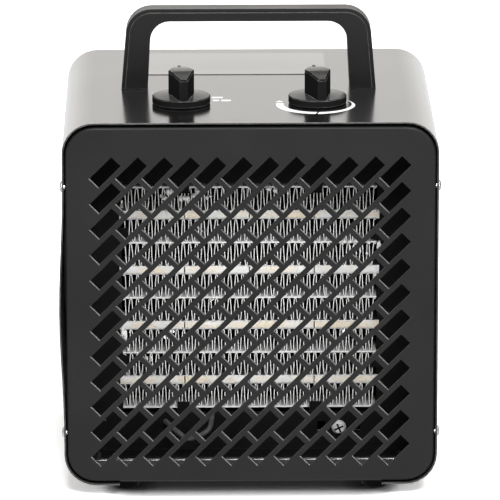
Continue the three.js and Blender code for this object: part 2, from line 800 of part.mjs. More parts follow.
// One corrugated strip of aluminium: walls lean a little and meet in narrow folds.
function finPack(height) {
  const waves = Math.floor(coreWidth / finPitch);
  const folds = 2 * waves;
  const step = (coreWidth - 2 * finSheet) / folds;
  const crest = height / 2;
  const lean = Math.hypot(height, step) / height;
  const half = (finSheet / 2) * lean;
  const x0 = -(step * folds) / 2;
  const bend = (finSheet * height) / step; // how far a fold's inside corner lies from its crest
  const upper = [];
  const lower = [];
  for (let i = 0; i <= folds; i++) {
    const x = x0 + i * step;
    const up = i % 2 === 0;
    const ended = i === 0 || i === folds;
    const side = i === 0 ? half : -half;
    if (up) {
      upper.push([x + (ended ? side : 0), crest]);
      lower.push([x + (ended ? -side : 0), ended ? crest : crest - bend]);
    } else {
      upper.push([x, bend - crest]);
      lower.push([x, -crest]);
    }
  }
  const outline = rounded([...upper, ...lower.reverse()]);
  return pulled("y", outline, coreY, coreY + coreDepth);
}

// A channel that holds the ends of strips and separators.
function coreEnd(side) {
  const inner = coreWidth / 2 + fit;
  const outer = inner + coreEndWidth;
  const [z0, z1] = [coreZ - coreHeight / 2 - coreEndRim, coreTopZ + coreEndRim];
  const [x0, x1] = side < 0 ? [-outer, -inner] : [inner, outer];
  const frame = box(x0, x1, coreY, coreY + coreDepth, z0, z1);
  const grooves = stripLevels().map((z) => {
    const [g0, g1] = side < 0 ? [x1 - stripOverhang - fit, x1 + 1] : [x0 - 1, x0 + stripOverhang + fit];
    return box(g0, g1, coreY - 1, coreY + coreDepth + 1, z - stripThickness / 2, z + stripThickness / 2);
  });
  return cut(frame, ...grooves);
}

const moduleTops = () =>
  Array.from({ length: moduleCount }, (_, i) => coreTopZ - separator - i * modulePitch);
const stripLevels = () => moduleTops().map((z) => z - finHeight - stripThickness / 2);

function buildCore() {
  const core = subassembly();
  const half = coreWidth / 2;
  const [y0, y1] = [coreY, coreY + coreDepth];
  const plate = (z) => box(-half, half, y0, y1, z + coreJoint, z + separator - coreJoint);
  piece(core, "core_separator_1", plate(coreTopZ - separator), aluminium);
  moduleTops().forEach((top, i) => {
    const stripZ = stripLevels()[i];
    const reach = half + stripOverhang;
    const thick = stripThickness / 2 - coreJoint;
    const strip = box(-reach, reach, y0, y1, stripZ - thick, stripZ + thick);
    piece(core, `ptc_strip_${i + 1}`, strip, ceramic);
    const finMiddles = [top - finHeight / 2, stripZ - stripThickness / 2 - finHeight / 2];
    finMiddles.forEach((z, j) => {
      const pack = finPack(finHeight - 2 * coreJoint).translate(0, 0, z);
      piece(core, `fin_pack_${2 * i + j + 1}`, pack, aluminium);
    });
    const below = plate(top - modulePitch);
    piece(core, `core_separator_${i + 2}`, below, aluminium);
  });
  for (const [name, side] of [["core_end_left", -1], ["core_end_right", 1]])
    piece(core, name, coreEnd(side), phenolic);
}

// The inner plate stands behind the front cavity. The core looks out through its window, held by
// small tabs, and the plate's foot is bent forward on the base plate.
function corePlate() {
  const wide = panelHalfWidth - 2 * fit;
  const top = coreTopZ + windowGap + carrierRim;
  const bottom = baseTopZ + fit;
  const windowX = coreWidth / 2 + windowGap;
  const windowZ = coreHeight / 2 + windowGap;
  const outline = rounded([
    [wide, bottom, cornerRadius], [wide, top], [-wide, top], [-wide, bottom, cornerRadius],
  ]);
  const hole = new THREE.Path();
  const tab = holdTabWidth / 2;
  const reach = holdTabReach + windowGap;
  const spread = holdTabSpread;
  // One side of the window with its two tabs, as steps along the side and into the window.
  const side = (length) => [
    [-length, 0], [-spread - tab, 0], [-spread - tab, reach], [-spread + tab, reach],
    [-spread + tab, 0], [spread - tab, 0], [spread - tab, reach], [spread + tab, reach],
    [spread + tab, 0],
  ];
  const corners = [
    ...side(windowX).map(([along, into]) => [along, coreZ - windowZ + into]),
    ...side(windowZ).map(([along, into]) => [windowX - into, coreZ + along]),
    ...side(windowX).map(([along, into]) => [-along, coreZ + windowZ - into]),
    ...side(windowZ).map(([along, into]) => [-windowX + into, coreZ - along]),
  ];
  outline.holes.push(rounded(corners, hole));
  const plate = pulled("y", outline, carrierY, carrierY + panelSheet);
  const halfFoot = halfWidth - cornerRadius - windowGap;
  const tongue = box(-halfFoot, halfFoot, carrierY - carrierFoot, carrierY + panelSheet, bottom,
    bottom + panelSheet);
  const place = carrierScrewPlace();
  const screwHole = rod("y", holeDiameter(screwShank + 1), carrierY - 1, carrierY + 3, place, 10);
  const wireSlots = sides.map((s) => {
    const x = place.x + s * wireSlotSpread;
    return box(x - wireSlotWidth / 2, x + wireSlotWidth / 2, carrierY - 1, carrierY + 3,
      place.z - wireSlotHeight / 2, place.z + wireSlotHeight / 2);
  });
  return cut(join(plate, tongue), screwHole, ...wireSlots);
}

function carrierScrewPlace() {
  return new THREE.Vector3(carrierScrewShift, 0, floorZ + carrierScrewRise);
}

function buildCarrier() {
  const carrier = subassembly();
  piece(carrier, "core_plate", corePlate(), innerPaint);
  const shape = screw(carrierScrewHead, 2.6, screwShank + 1, 8, 16);
  const mesh = piece(carrier, "core_plate_screw", shape, zinc);
  mesh.rotation.x = -Math.PI / 2;
  mesh.position.copy(carrierScrewPlace()).setY(carrierY - fit);
}

// ---------------------------------------------------------------------------------------------
// Fan
// ---------------------------------------------------------------------------------------------

// A twisted blade that reaches from the hub out along +Y. The fan's axis is Z until it is mounted.
function blade() {
  const rootRadius = fanHub / 2 - bladeRootSink;
  const tipRadius = fanDiameter / 2 + bladeSheet;
  const sections = 4;
  const rings = [];
  for (let i = 0; i <= sections; i++) {
    const share = i / sections;
    const radius = THREE.MathUtils.lerp(rootRadius, tipRadius, share);
    const angle = rad(THREE.MathUtils.lerp(bladeRootAngle, bladeTipAngle, share));
    const chord = THREE.MathUtils.lerp(bladeRootChord, bladeTipChord, share ** 0.8);
    const sweep = bladeSweep * share ** 2;
    const camber = chord * bladeCamber;
    const section = [
      [-chord / 2, -bladeSheet / 2], [0, camber - bladeSheet / 2], [chord / 2, -bladeSheet / 2],
      [chord / 2, bladeSheet / 2], [0, camber + bladeSheet / 2], [-chord / 2, bladeSheet / 2],
    ];
    rings.push(
      section.map(([along, across]) => {
        const y = along * Math.sin(angle) + across * Math.cos(angle);
        const z = along * Math.cos(angle) - across * Math.sin(angle) + sweep;
        return new THREE.Vector3(z, radius, y);
      }),
    );
  }
  return shell(rings);
}

function impeller() {
  const hubRadius = fanHub / 2;
  const hub = turned(
    [
      [0, -fanHubDepth / 2],
      [hubRadius - fanHubChamfer, -fanHubDepth / 2],
      [hubRadius, -fanHubDepth / 2 + fanHubChamfer],
      [hubRadius, fanHubDepth / 2],
      [0, fanHubDepth / 2],
    ],
    24,
  );
  const parts = Array.from({ length: bladeCount }, (_, i) =>
    blade().rotateZ((i * 2 * Math.PI) / bladeCount),
  );
  const reach = fanHubDepth;
  const sweptRound = rod("z", fanDiameter, -reach, reach, undefined, 72);
  const bore = rod("z", motorShaft + 2 * shaftFit, -reach, reach, undefined, 12);
  return cut(common(join(hub, ...parts), sweptRound), bore).rotateX(-Math.PI / 2);
}

const statorY = fanY + statorOffset;
const fanAxis = new THREE.Vector3(0, 0, coreZ);
const shroudBackY = fanY + panelSheet;

// A plate across the whole casing, with a collared round opening for the impeller.
function fanShroud() {
  const wide = panelHalfWidth - 2 * fit;
  const [z0, z1] = [baseTopZ + fit, roofZ - wrapSheet - fit];
  const plate = pulled("y", rectangle(-wide, wide, z0, z1, cornerRadius), fanY, shroudBackY);
  const collarY = fanY - shroudCollar;
  const collar = rod("y", 2 * (shroudRadius + panelSheet), collarY, fanY + 0.5, fanAxis, 36);
  const opening = rod("y", 2 * shroudRadius, collarY - 1, shroudBackY + 1, fanAxis, 36);
  return cut(join(plate, collar), opening);
}

// A hat-shaped strap behind the shroud that spans the opening and carries the motor.
function motorBracket() {
  const footX = shroudRadius + shroudGap / 2;
  const footEnd = footX + bracketFoot;
  const seat = shroudBackY + fit;
  const bridge = statorY - statorDepth / 2 - fit - bracketSheet;
  const path = [
    [-footEnd, seat], [-footX, seat], [-footX, bridge],
    [footX, bridge], [footX, seat], [footEnd, seat],
  ];
  const strap = pulled("z", bent(path, bracketSheet), coreZ - bracketWidth / 2,
    coreZ + bracketWidth / 2);
  return cut(strap, rod("y", motorShaft + 2 * fit, bridge - 1, bridge + 3, fanAxis, 16));
}

// The motor's rear bearing bridge, a smaller hat against the back of the laminations.
function motorBridge() {
  const seat = statorY + statorDepth / 2 + fit;
  const crown = seat + bridgeRise;
  const half = bridgeSpan / 2;
  const path = [
    [-half, seat], [-half + bridgeFoot, seat], [-half + bridgeFoot + bridgeSlope, crown],
    [half - bridgeFoot - bridgeSlope, crown], [half - bridgeFoot, seat], [half, seat],
  ];
  const strap = pulled("z", bent(path, bridgeSheet), coreZ - bridgeWidth / 2,
    coreZ + bridgeWidth / 2);
  return cut(strap, rod("y", motorShaft + 2 * fit, seat - 1, crown + 4, fanAxis, 16));
}

// Shaded-pole motor: a laminated frame with a bore for the rotor and a window for the coil.
const windowTopZ = coreZ - statorBore / 2 - statorWeb;
const windowBaseZ = windowTopZ - statorWindow;
const statorBaseZ = windowBaseZ - statorLimb;

function motorStator() {
  const half = statorWidth / 2;
  const outline = rectangle(-half, half, statorBaseZ, coreZ + statorBore / 2 + statorLimb, 2);
  const bore = new THREE.Path().absarc(0, coreZ, statorBore / 2, 0, 2 * Math.PI, true);
  const windowX = half - statorLimb;
  const coilWindow = rounded(
    [[-windowX, windowBaseZ], [windowX, windowBaseZ], [windowX, windowTopZ], [-windowX, windowTopZ]],
    new THREE.Path(),
  );
  outline.holes.push(bore, coilWindow);
  return pulled("y", outline, statorY - statorDepth / 2, statorY + statorDepth / 2, 10);
}

// The coil wraps the frame's lower limb.
function motorCoil() {
  const half = coilLength / 2;
  const inner = statorDepth / 2 + fit;
  const outer = inner + coilThickness;
  const [z0, z1] = [statorBaseZ - fit, windowBaseZ + fit];
  const outline = rounded(
    [[-outer, z0 - coilThickness], [outer, z0 - coilThickness],
      [outer, z1 + coilThickness], [-outer, z1 + coilThickness]].map((corner) => [...corner, 3]),
  );
  const winding = pulled("x", outline, -half, half).translate(0, statorY, 0);
  const limb = box(-half - 1, half + 1, statorY - inner, statorY + inner, z0, z1);
  return cut(winding, limb);
}

// The shaft turns in the two bridges and carries the rotor in the stator's bore.
function fanShaft() {
  const front = -fanHubDepth / 2 - fit - nutThickness - 0.7;
  const rear = statorOffset + statorDepth / 2 + bridgeRise + 6;
  const [r0, r1] = [statorOffset - statorDepth / 2, statorOffset + statorDepth / 2];
  const radius = motorShaft / 2;
  const rotor = statorBore / 2 - rotorGap;
  return turned(
    [
      [0, front],
      [radius - 0.4, front],
      [radius, front + 0.4],
      [radius, r0],
      [rotor, r0],
      [rotor, r1],
      [radius, r1],
      [radius, rear],
      [0, rear],
    ],
    20,
  ).rotateX(-Math.PI / 2);
}

// A hexagonal nut round the Y axis, between two places on it.
function hexNut(acrossFlats, bore, from, to) {
  const across = acrossFlats / Math.cos(Math.PI / 6);
  return cut(rod("y", across, from, to, undefined, 6), rod("y", bore, from - 1, to + 1));
}

function buildFan() {
  const fixed = subassembly();
  piece(fixed, "fan_shroud", fanShroud(), innerPaint);
  piece(fixed, "motor_bracket", motorBracket(), zinc);
  piece(fixed, "motor_bridge", motorBridge(), zinc);
  piece(fixed, "motor_stator", motorStator(), laminations);
  piece(fixed, "motor_coil", motorCoil(), copper);
  const moving = subassembly();
  moving.position.set(0, fanY, coreZ);
  piece(moving, "fan_impeller", impeller(), blackPlastic);
  piece(moving, "fan_shaft", fanShaft(), zinc);
  const nutEnd = -fanHubDepth / 2 - fit;
  const nut = hexNut(nutAcrossFlats, motorShaft + 2 * shaftFit, nutEnd - nutThickness, nutEnd);
  piece(moving, "impeller_nut", nut, zinc);
}

// ---------------------------------------------------------------------------------------------
// Mains side
// ---------------------------------------------------------------------------------------------

// A strain-relief gland with an open bore. Its neck goes through the rear panel.
function cableGland() {
  const face = rearY - panelSetback;
  const body = rod("y", glandDiameter, face + fit, face + glandFlange, undefined, 20);
  const snout = rod("y", glandDiameter - 2 * glandTaper, face + 1, face + glandReach, undefined, 20);
  const neck = rod("y", glandNeck, face - glandNeckLength, face + 1, undefined, 16);
  const bore = rod("y", glandBore, face - glandNeckLength - 1, face + glandReach + 1, undefined, 14);
  return cut(join(body, snout, neck), bore);
}

// A three-way terminal block with a wire bore and a screw well for each way.
function terminalBlock() {
  const { x, y, z } = blockSize;
  const body = box(-x / 2, x / 2, -y / 2, y / 2, 0, z);
  const pitch = x / 3;
  const ways = [-pitch, 0, pitch].flatMap((way) => [
    rod("y", 4.2, -y, y, new THREE.Vector3(way, 0, z * 0.4), 10),
    rod("z", 5, z * 0.45, z + 1, new THREE.Vector3(way, 0, 0), 10),
  ]);
  const slots = [-pitch / 2, pitch / 2].map((gap) =>
    box(gap - 0.8, gap + 0.8, -y, y, z * 0.75, z + 1),
  );
  return cut(body, ...ways, ...slots);
}

// A bimetal disc switch with two tabs, lying against the front of the shroud.
function thermalCutout() {
  const half = cutoutDepth / 2;
  const disc = rod("y", cutoutDiameter, -half, half, undefined, 20);
  const tabs = sides.map((s) => {
    const [x0, x1] = [s * (cutoutDiameter / 2 - 3), s * (cutoutDiameter / 2 + tabLength)];
    return box(Math.min(x0, x1), Math.max(x0, x1), -half - tabThickness, -half + 1,
      -tabWidth / 2, tabWidth / 2);
  });
  return join(disc, ...tabs);
}

function buildMains() {
  const mains = subassembly();
  const place = glandPlace();
  piece(mains, "cable_gland", cableGland().translate(place.x, 0, place.z), blackPlastic);
  const innerFace = rearY - panelSetback - panelSheet - fit;
  const nut = hexNut(glandNutAcrossFlats, glandNeck + 2 * fit, innerFace - glandNutThickness,
    innerFace);
  piece(mains, "gland_nut", nut.translate(place.x, 0, place.z), blackPlastic);
  const block = piece(mains, "terminal_block", terminalBlock(), whitePlastic);
  block.position.set(blockShift, rearY - blockSetback, baseTopZ + fit);
  const cutout = piece(mains, "thermal_cutout", thermalCutout(), phenolic);
  const cutoutZ = coreZ + shroudRadius + cutoutDiameter / 2 + 4;
  cutout.position.set(0, fanY - fit - cutoutDepth / 2, cutoutZ);
}

buildCasing();
buildHandle();
buildControls();
buildCore();
buildCarrier();
buildFan();
buildMains();

export default root;
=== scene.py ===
import bpy, bmesh, math, random
from mathutils import Vector, Matrix, noise


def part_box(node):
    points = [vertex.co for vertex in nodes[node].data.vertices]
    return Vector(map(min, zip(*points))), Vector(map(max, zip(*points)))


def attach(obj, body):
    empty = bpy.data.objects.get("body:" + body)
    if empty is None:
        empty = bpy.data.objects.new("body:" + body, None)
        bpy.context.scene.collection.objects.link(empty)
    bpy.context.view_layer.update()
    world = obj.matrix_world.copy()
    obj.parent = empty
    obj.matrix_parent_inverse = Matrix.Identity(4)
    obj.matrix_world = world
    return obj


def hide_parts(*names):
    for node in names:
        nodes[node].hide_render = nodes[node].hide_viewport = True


# Ceramic space heater. Metres, +Z up, the front grille faces -Y, the origin is on the table.
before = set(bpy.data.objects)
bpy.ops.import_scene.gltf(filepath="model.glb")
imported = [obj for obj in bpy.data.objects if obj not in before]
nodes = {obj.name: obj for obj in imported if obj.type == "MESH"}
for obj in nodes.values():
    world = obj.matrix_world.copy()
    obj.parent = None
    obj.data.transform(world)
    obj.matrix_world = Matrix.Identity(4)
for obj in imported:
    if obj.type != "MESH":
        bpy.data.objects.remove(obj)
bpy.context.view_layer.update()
scene = bpy.context.scene
MM = 0.001
TINY = 1e-6  # a thousandth of a millimetre, for comparing places

wrap_low, wrap_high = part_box("casing_wrap")
ROOF_Z = wrap_high.z
PANEL_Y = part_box("front_grille")[0].y
PLATE_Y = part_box("core_plate")[0].y


# ------------------------------------------------------------------------------ node helpers

class Tree:
    """A small writer for node trees: values, sockets and links in one call."""

    def __init__(self, tree):
        self.tree = tree

    def add(self, kind, props=None, **inputs):
        node = self.tree.nodes.new(kind)
        for key, value in (props or {}).items():
            setattr(node, key, value)
        for key, value in inputs.items():
            self.put(node, key, value)
        return node

    def put(self, node, key, value):
        """Sets or links one input, called by its label or, as i0, i1 and so on, by its number."""
        by_number = key[0] == "i" and key[1:].isdigit()
        socket = node.inputs[int(key[1:]) if by_number else key.replace("_", " ")]
        if isinstance(value, bpy.types.NodeSocket):
            self.tree.links.new(value, socket)
        elif isinstance(value, bpy.types.Node):
            self.tree.links.new(value.outputs[0], socket)
        else:
            socket.default_value = value

    def math(self, operation, a, b=0.0, clamp=False):
        return self.add("ShaderNodeMath", {"operation": operation, "use_clamp": clamp}, i0=a, i1=b).outputs[0]

    def mix(self, factor, a, b, blend="MIX"):
        node = self.add("ShaderNodeMix", {"data_type": "RGBA", "blend_type": blend})
        for index, value in ((0, factor), (6, a), (7, b)):
            self.put(node, f"i{index}", value)
        return node.outputs[2]

    def ramp(self, value, *stops):
        """Value mapped through (position, brightness) stops."""
        node = self.add("ShaderNodeValToRGB", i0=value)
        marks = node.color_ramp.elements
        while len(marks) < len(stops):
            marks.new(0.5)
        for mark, (position, tone) in zip(marks, stops):
            mark.position = position
            mark.color = (tone, tone, tone, 1) if isinstance(tone, (int, float)) else (*tone, 1)
        return node.outputs[0]

    def noise(self, vector, scale, detail=2.0, roughness=0.5):
        return self.add("ShaderNodeTexNoise", Vector=vector, Scale=scale, Detail=detail, Roughness=roughness).outputs[0]


def group(name, inputs, outputs):
    """A shader node group with named sockets: (name, type, default) in, (name, type) out."""
    tree = bpy.data.node_groups.new(name, "ShaderNodeTree")
    for label, kind, default in inputs:
        socket = tree.interface.new_socket(label, in_out="INPUT", socket_type="NodeSocket" + kind)
        socket.default_value = default
    for label, kind in outputs:
        tree.interface.new_socket(label, in_out="OUTPUT", socket_type="NodeSocket" + kind)
    t = Tree(tree)
    return t, t.add("NodeGroupInput"), t.add("NodeGroupOutput")


def object_space(t):
    return t.add("ShaderNodeTexCoord").outputs["Object"]


def make_skin_group():
    """Painted or moulded skin: fine grain, slow blotches, and a mask of settled specks."""
    t, given, out = group(
        "skin",
        [("Grain", "Float", 900.0), ("Blotch", "Float", 22.0), ("Specks", "Float", 0.5)],
        [("Height", "Float"), ("Blotches", "Float"), ("Speck Mask", "Float")],
    )
    place = object_space(t)
    fine = t.noise(place, given.outputs["Grain"], 3.0, 0.6)
    slow = t.noise(place, given.outputs["Blotch"], 4.0, 0.55)
    dots = t.add("ShaderNodeTexVoronoi", {"feature": "F1"}, Vector=place, Scale=420.0)
    near = t.ramp(dots.outputs["Distance"], (0.0, 1.0), (0.11, 1.0), (0.16, 0.0))
    cloud = t.noise(place, 150.0, 1.0)
    threshold = t.math("SUBTRACT", 0.78, t.math("MULTIPLY", given.outputs["Specks"], 0.12))
    rare = t.math("GREATER_THAN", cloud, threshold)
    t.put(out, "Height", fine)
    t.put(out, "Blotches", slow)
    t.put(out, "Speck_Mask", t.math("MULTIPLY", near, rare))
    return t.tree


def make_edge_group():
    """Where two faces meet: a mask that is 1 on rounded edges, broken up a little."""
    t, given, out = group("edges", [("Radius", "Float", 0.0006)], [("Mask", "Float")])
    place = object_space(t)
    soft = t.add("ShaderNodeBevel", {"samples": 4}, Radius=given.outputs["Radius"])
    true = t.add("ShaderNodeNewGeometry").outputs["Normal"]
    same = t.add("ShaderNodeVectorMath", {"operation": "DOT_PRODUCT"}, i0=soft.outputs[0], i1=true)
    bent = t.math("SUBTRACT", 1.0, same.outputs["Value"], clamp=True)
    broken = t.ramp(t.noise(place, 260.0, 3.0, 0.6), (0.35, 0.25), (0.7, 1.0))
    t.put(out, "Mask", t.math("MULTIPLY", t.ramp(bent, (0.01, 0.0), (0.16, 1.0)), broken))
    return t.tree


def make_metal_group():
    """Rolled or drawn metal: fine lines along one axis, with a slow cloud of dullness."""
    t, given, out = group(
        "rolled_metal",
        [("Stretch", "Vector", (1.0, 1.0, 1.0)), ("Scale", "Float", 700.0)],
        [("Lines", "Float"), ("Dullness", "Float")],
    )
    place = object_space(t)
    along = t.add("ShaderNodeVectorMath", {"operation": "MULTIPLY"}, i0=place, i1=given.outputs["Stretch"])
    t.put(out, "Lines", t.noise(along.outputs[0], given.outputs["Scale"], 2.0))
    t.put(out, "Dullness", t.noise(place, 60.0, 4.0, 0.6))
    return t.tree


def make_ceramic_group():
    """Fired ceramic and bonding paste: grain, warm clouds and small pits."""
    t, given, out = group(
        "fired",
        [("Warmth", "Float", 0.5)],
        [("Tint", "Float"), ("Height", "Float"), ("Pits", "Float")],
    )
    place = object_space(t)
    info = t.add("ShaderNodeObjectInfo")
    shifted = t.add("ShaderNodeVectorMath", {"operation": "ADD"}, i0=place, i1=info.outputs["Random"])
    cloud = t.noise(shifted.outputs[0], 55.0, 3.0, 0.6)
    warm = t.ramp(cloud, (0.38, 0.0), (0.62, 1.0))
    bias = t.math("SUBTRACT", given.outputs["Warmth"], 0.5)
    t.put(out, "Tint", t.math("ADD", warm, bias, clamp=True))
    t.put(out, "Height", t.noise(place, 1800.0, 3.0, 0.6))
    t.put(out, "Pits", t.ramp(t.noise(place, 900.0, 2.0), (0.30, 1.0), (0.38, 0.0)))
    return t.tree


SKIN, EDGES = make_skin_group(), make_edge_group()
METAL, FIRED = make_metal_group(), make_ceramic_group()


def material(name, metallic=0.0, **sockets):
    """A material with a Principled shader; uniform values go straight on its sockets."""
    mat = bpy.data.materials.new(name)
    mat.use_nodes = True
    t = Tree(mat.node_tree)
    shader = mat.node_tree.nodes["Principled BSDF"]
    shader.inputs["Metallic"].default_value = metallic
    for key, value in sockets.items():
        shader.inputs[key.replace("_", " ")].default_value = value
    return mat, t, shader


def use(t, tree, **inputs):
    """Puts a shared node group into a material."""
    return t.add("ShaderNodeGroup", {"node_tree": tree}, **inputs)


def bump(t, shader, height, distance):
    t.put(shader, "Normal", t.add("ShaderNodeBump", Height=height, Distance=distance, Strength=1.0))


def grey(level):
    return level, level, level


DARK_BLOTCH, LIGHT_BLOTCH = 0.86, 1.12  # shares of a paint's own tone
SPECK_TONE = (0.30, 0.29, 0.27, 1)
# Tone of level faces: partly a dusty film, partly painted light on the tops.
TOP_DUST_AND_LIGHT_TONE = (0.60, 0.59, 0.57, 1)
PIT_TONE = (0.30, 0.24, 0.19, 1)
# Painted shade for the inside of the casing wrap.
PAINTED_SHADE_BLACK = (*grey(0.0005), 1)
# Painted shade on screw shanks inside the gap behind the wrap.
SHANK_SHADE_BLACK = (*grey(0.002), 1)


def coated(name, base, wear_and_highlight, roughness, coat=0.0, coat_roughness=0.1, grain=900.0, depth=0.00001,
           specks=0.4, edge=0.5, spread=0.08, edge_radius=0.0005, specular=0.5, dust_and_top_light=0.0, shade_line=None):
    """Paint or plastic: blotchy tone, edges lightened partly as rubbed wear and partly as a painted highlight, settled
    specks, a dusty film on level faces that is partly painted top light, grain in its bump. Faces that look towards the
    line (x, z) along Y given as shade_line are painted near-black and matt, as painted shade inside the casing."""
    mat, t, shader = material(name, Coat_Weight=coat, Coat_Roughness=coat_roughness, Specular_IOR_Level=specular)
    skin = use(t, SKIN, Grain=grain, Specks=specks)
    rim = use(t, EDGES, Radius=edge_radius)
    deep = tuple(c * DARK_BLOTCH for c in base)
    light = tuple(c * LIGHT_BLOTCH for c in base)
    tone = t.ramp(skin.outputs["Blotches"], (0.3, deep), (0.7, light))
    # Edges go lighter: partly rubbed wear, partly a painted highlight along the rims.
    tone = t.mix(t.math("MULTIPLY", rim.outputs["Mask"], edge), tone, (*wear_and_highlight, 1))
    tone = t.mix(t.math("MULTIPLY", skin.outputs["Speck Mask"], 0.5), tone, SPECK_TONE)
    # Level faces go lighter: partly a dusty film, partly painted light on the tops.
    if dust_and_top_light:
        normal = t.add("ShaderNodeNewGeometry").outputs["Normal"]
        level = t.ramp(t.add("ShaderNodeSeparateXYZ", i0=normal).outputs["Z"], (0.75, 0.0), (0.99, 1.0))
        patchy = t.ramp(skin.outputs["Height"], (0.3, 0.4), (0.7, 1.0))
        tone = t.mix(t.math("MULTIPLY", t.math("MULTIPLY", level, patchy), dust_and_top_light), tone, TOP_DUST_AND_LIGHT_TONE)
        if coat:
            t.put(shader, "Coat_Weight", t.math("MULTIPLY", level, coat))
    t.put(shader, "Base_Color", tone)
    low, high = roughness - spread, roughness + spread
    gloss = t.ramp(skin.outputs["Blotches"], (0.3, low), (0.7, high))
    # The wrap's inner faces are painted near-black, matt and uncoated: painted shade in the gap behind its front edge.
    if shade_line:
        place = t.add("ShaderNodeNewGeometry")
        away = t.add("ShaderNodeVectorMath", {"operation": "SUBTRACT"},
                     i0=place.outputs["Position"], i1=(shade_line[0], 0, shade_line[1]))
        across = t.add("ShaderNodeVectorMath", {"operation": "MULTIPLY"}, i0=away.outputs[0], i1=(1, 0, 1))
        facing = t.add("ShaderNodeVectorMath", {"operation": "DOT_PRODUCT"},
                       i0=across.outputs[0], i1=place.outputs["True Normal"])
        inside = t.math("LESS_THAN", facing.outputs["Value"], -0.02)
        t.put(shader, "Base_Color", t.mix(inside, tone, PAINTED_SHADE_BLACK))
        t.put(shader, "Coat_Weight", t.math("MULTIPLY", t.math("SUBTRACT", 1.0, inside), coat))
        gloss = t.math("MAXIMUM", gloss, inside)
    t.put(shader, "Roughness", gloss)
    bump(t, shader, skin.outputs["Height"], depth)
    return mat


def metal(name, base, dull, roughness, stretch=(1, 1, 1), scale=700.0, depth=0.000004, metallic=1.0, painted=0.0):
    """Bare or plated metal. With painted set, what lies nearer the middle than that x is black: painted shade on a
    screw's shank in the gap behind the wrap.
    """
    mat, t, shader = material(name, metallic=metallic)
    rolled = use(t, METAL, Stretch=stretch, Scale=scale)
    tone = t.mix(t.ramp(rolled.outputs["Dullness"], (0.35, 0.0), (0.7, 1.0)), (*base, 1), (*dull, 1))
    if painted:
        x = t.add("ShaderNodeSeparateXYZ", i0=t.add("ShaderNodeNewGeometry").outputs["Position"]).outputs["X"]
        tone = t.mix(t.math("LESS_THAN", t.math("ABSOLUTE", x), painted), tone, SHANK_SHADE_BLACK)
    t.put(shader, "Base_Color", tone)
    t.put(shader, "Roughness", t.ramp(rolled.outputs["Lines"], (0.25, roughness - 0.08), (0.75, roughness + 0.1)))
    bump(t, shader, rolled.outputs["Lines"], depth)
    return mat


def ceramic(name, cool, warm, warmth):
    """Fired stone or old paste, clouded between a cool and a warm tone and pitted."""
    mat, t, shader = material(name, Roughness=0.75)
    fired = use(t, FIRED, Warmth=warmth)
    tone = t.mix(fired.outputs["Tint"], (*cool, 1), (*warm, 1))
    t.put(shader, "Base_Color", t.mix(t.math("MULTIPLY", fired.outputs["Pits"], 0.35), tone, PIT_TONE))
    bump(t, shader, fired.outputs["Height"], 0.00004)
    return mat


# The base plate's enamel is a lighter copy of the wrap's: painted light on the floor inside the casing.
ENAMEL_LIGHTENED = coated("satin black enamel", (0.045, 0.045, 0.0451), grey(0.30), 0.20, coat=1.0, coat_roughness=0.30,
               grain=500.0, depth=0.000002, specks=0.1, edge=0.7, spread=0.02)
WRAP = coated("satin black enamel, painted shade inside", (0.005, 0.005, 0.0051), grey(0.30), 0.22, coat=1.0,
              coat_roughness=0.15, grain=500.0, depth=0.000002, specks=0.1, edge=0.7, spread=0.02,
              shade_line=(0.0, (wrap_low.z + wrap_high.z) / 2))
POWDER = coated("charcoal powder coat", (0.0075, 0.0075, 0.0076), grey(0.09), 0.52, grain=1500.0,
                specks=0.15, edge=0.55, edge_radius=0.0003, specular=0.27)
# Grey slot-edge beads are painted highlights: bright where the walls face up and right, faint where they face up and
# left.
SLOT_EDGE_HIGHLIGHT = coated("slot edge, painted highlight", grey(0.24), grey(0.34), 0.22, coat=0.6, depth=0.000002,
              specks=0.05, edge=0.3, spread=0.03)
SLOT_EDGE_FAINT_HIGHLIGHT = coated("slot edge, faint painted highlight", grey(0.022), grey(0.06), 0.35, depth=0.000002,
               specks=0.05, edge=0.3, spread=0.03)
INNER = coated("matt black inner paint", (0.0065, 0.0065, 0.0066), grey(0.03), 0.62, grain=1100.0,
               depth=0.00002, edge=0.4, specular=0.10)
INNER_PLATE = coated("satin black inner paint", (0.0055, 0.0055, 0.0056), grey(0.03), 0.62, grain=1100.0,
                     depth=0.00002, edge=0.4, specular=0.10)
KNOB = coated("black knob plastic", (0.008, 0.008, 0.0081), grey(0.50), 0.40, grain=700.0, depth=0.00003,
              specks=0.3, edge=0.8, edge_radius=0.00035, specular=0.0, dust_and_top_light=0.06, coat=0.8, coat_roughness=0.16)
PLASTIC = coated("black moulded plastic", (0.007, 0.007, 0.0071), grey(0.30), 0.36, grain=1300.0, depth=0.00002,
                 specks=0.2, edge=0.7, edge_radius=0.0003, specular=0.28, dust_and_top_light=0.13)
RUBBER = coated("black rubber", grey(0.004), grey(0.02), 0.8, grain=1600.0, depth=0.00004, specks=0.7,
                specular=0.1)
PHENOLIC = coated("dark brown heat-proof moulding", (0.007, 0.0055, 0.0048), (0.03, 0.022, 0.018), 0.6, depth=0.00003,
                  specular=0.12)
NYLON = coated("off-white nylon", (0.62, 0.60, 0.54), (0.7, 0.68, 0.62), 0.45)
BLADES = coated("black fan plastic", grey(0.014), grey(0.04), 0.38)
INK = coated("white ink", (0.84, 0.84, 0.83), grey(0.4), 0.5, depth=0.000005, specks=0.1, edge=0.1)
FILM = coated("plain satin label film", grey(0.11), grey(0.10), 0.16, coat=1.0, coat_roughness=0.14,
              depth=0.000003, specks=0.1, edge=0.2, spread=0.02)
SLEEVE = coated("dark woven sleeve", grey(0.05), grey(0.12), 0.6, grain=2600.0, depth=0.00008, specks=0.1)
ZINC = metal("bright zinc plate", (0.66, 0.67, 0.69), (0.40, 0.41, 0.43), 0.24)
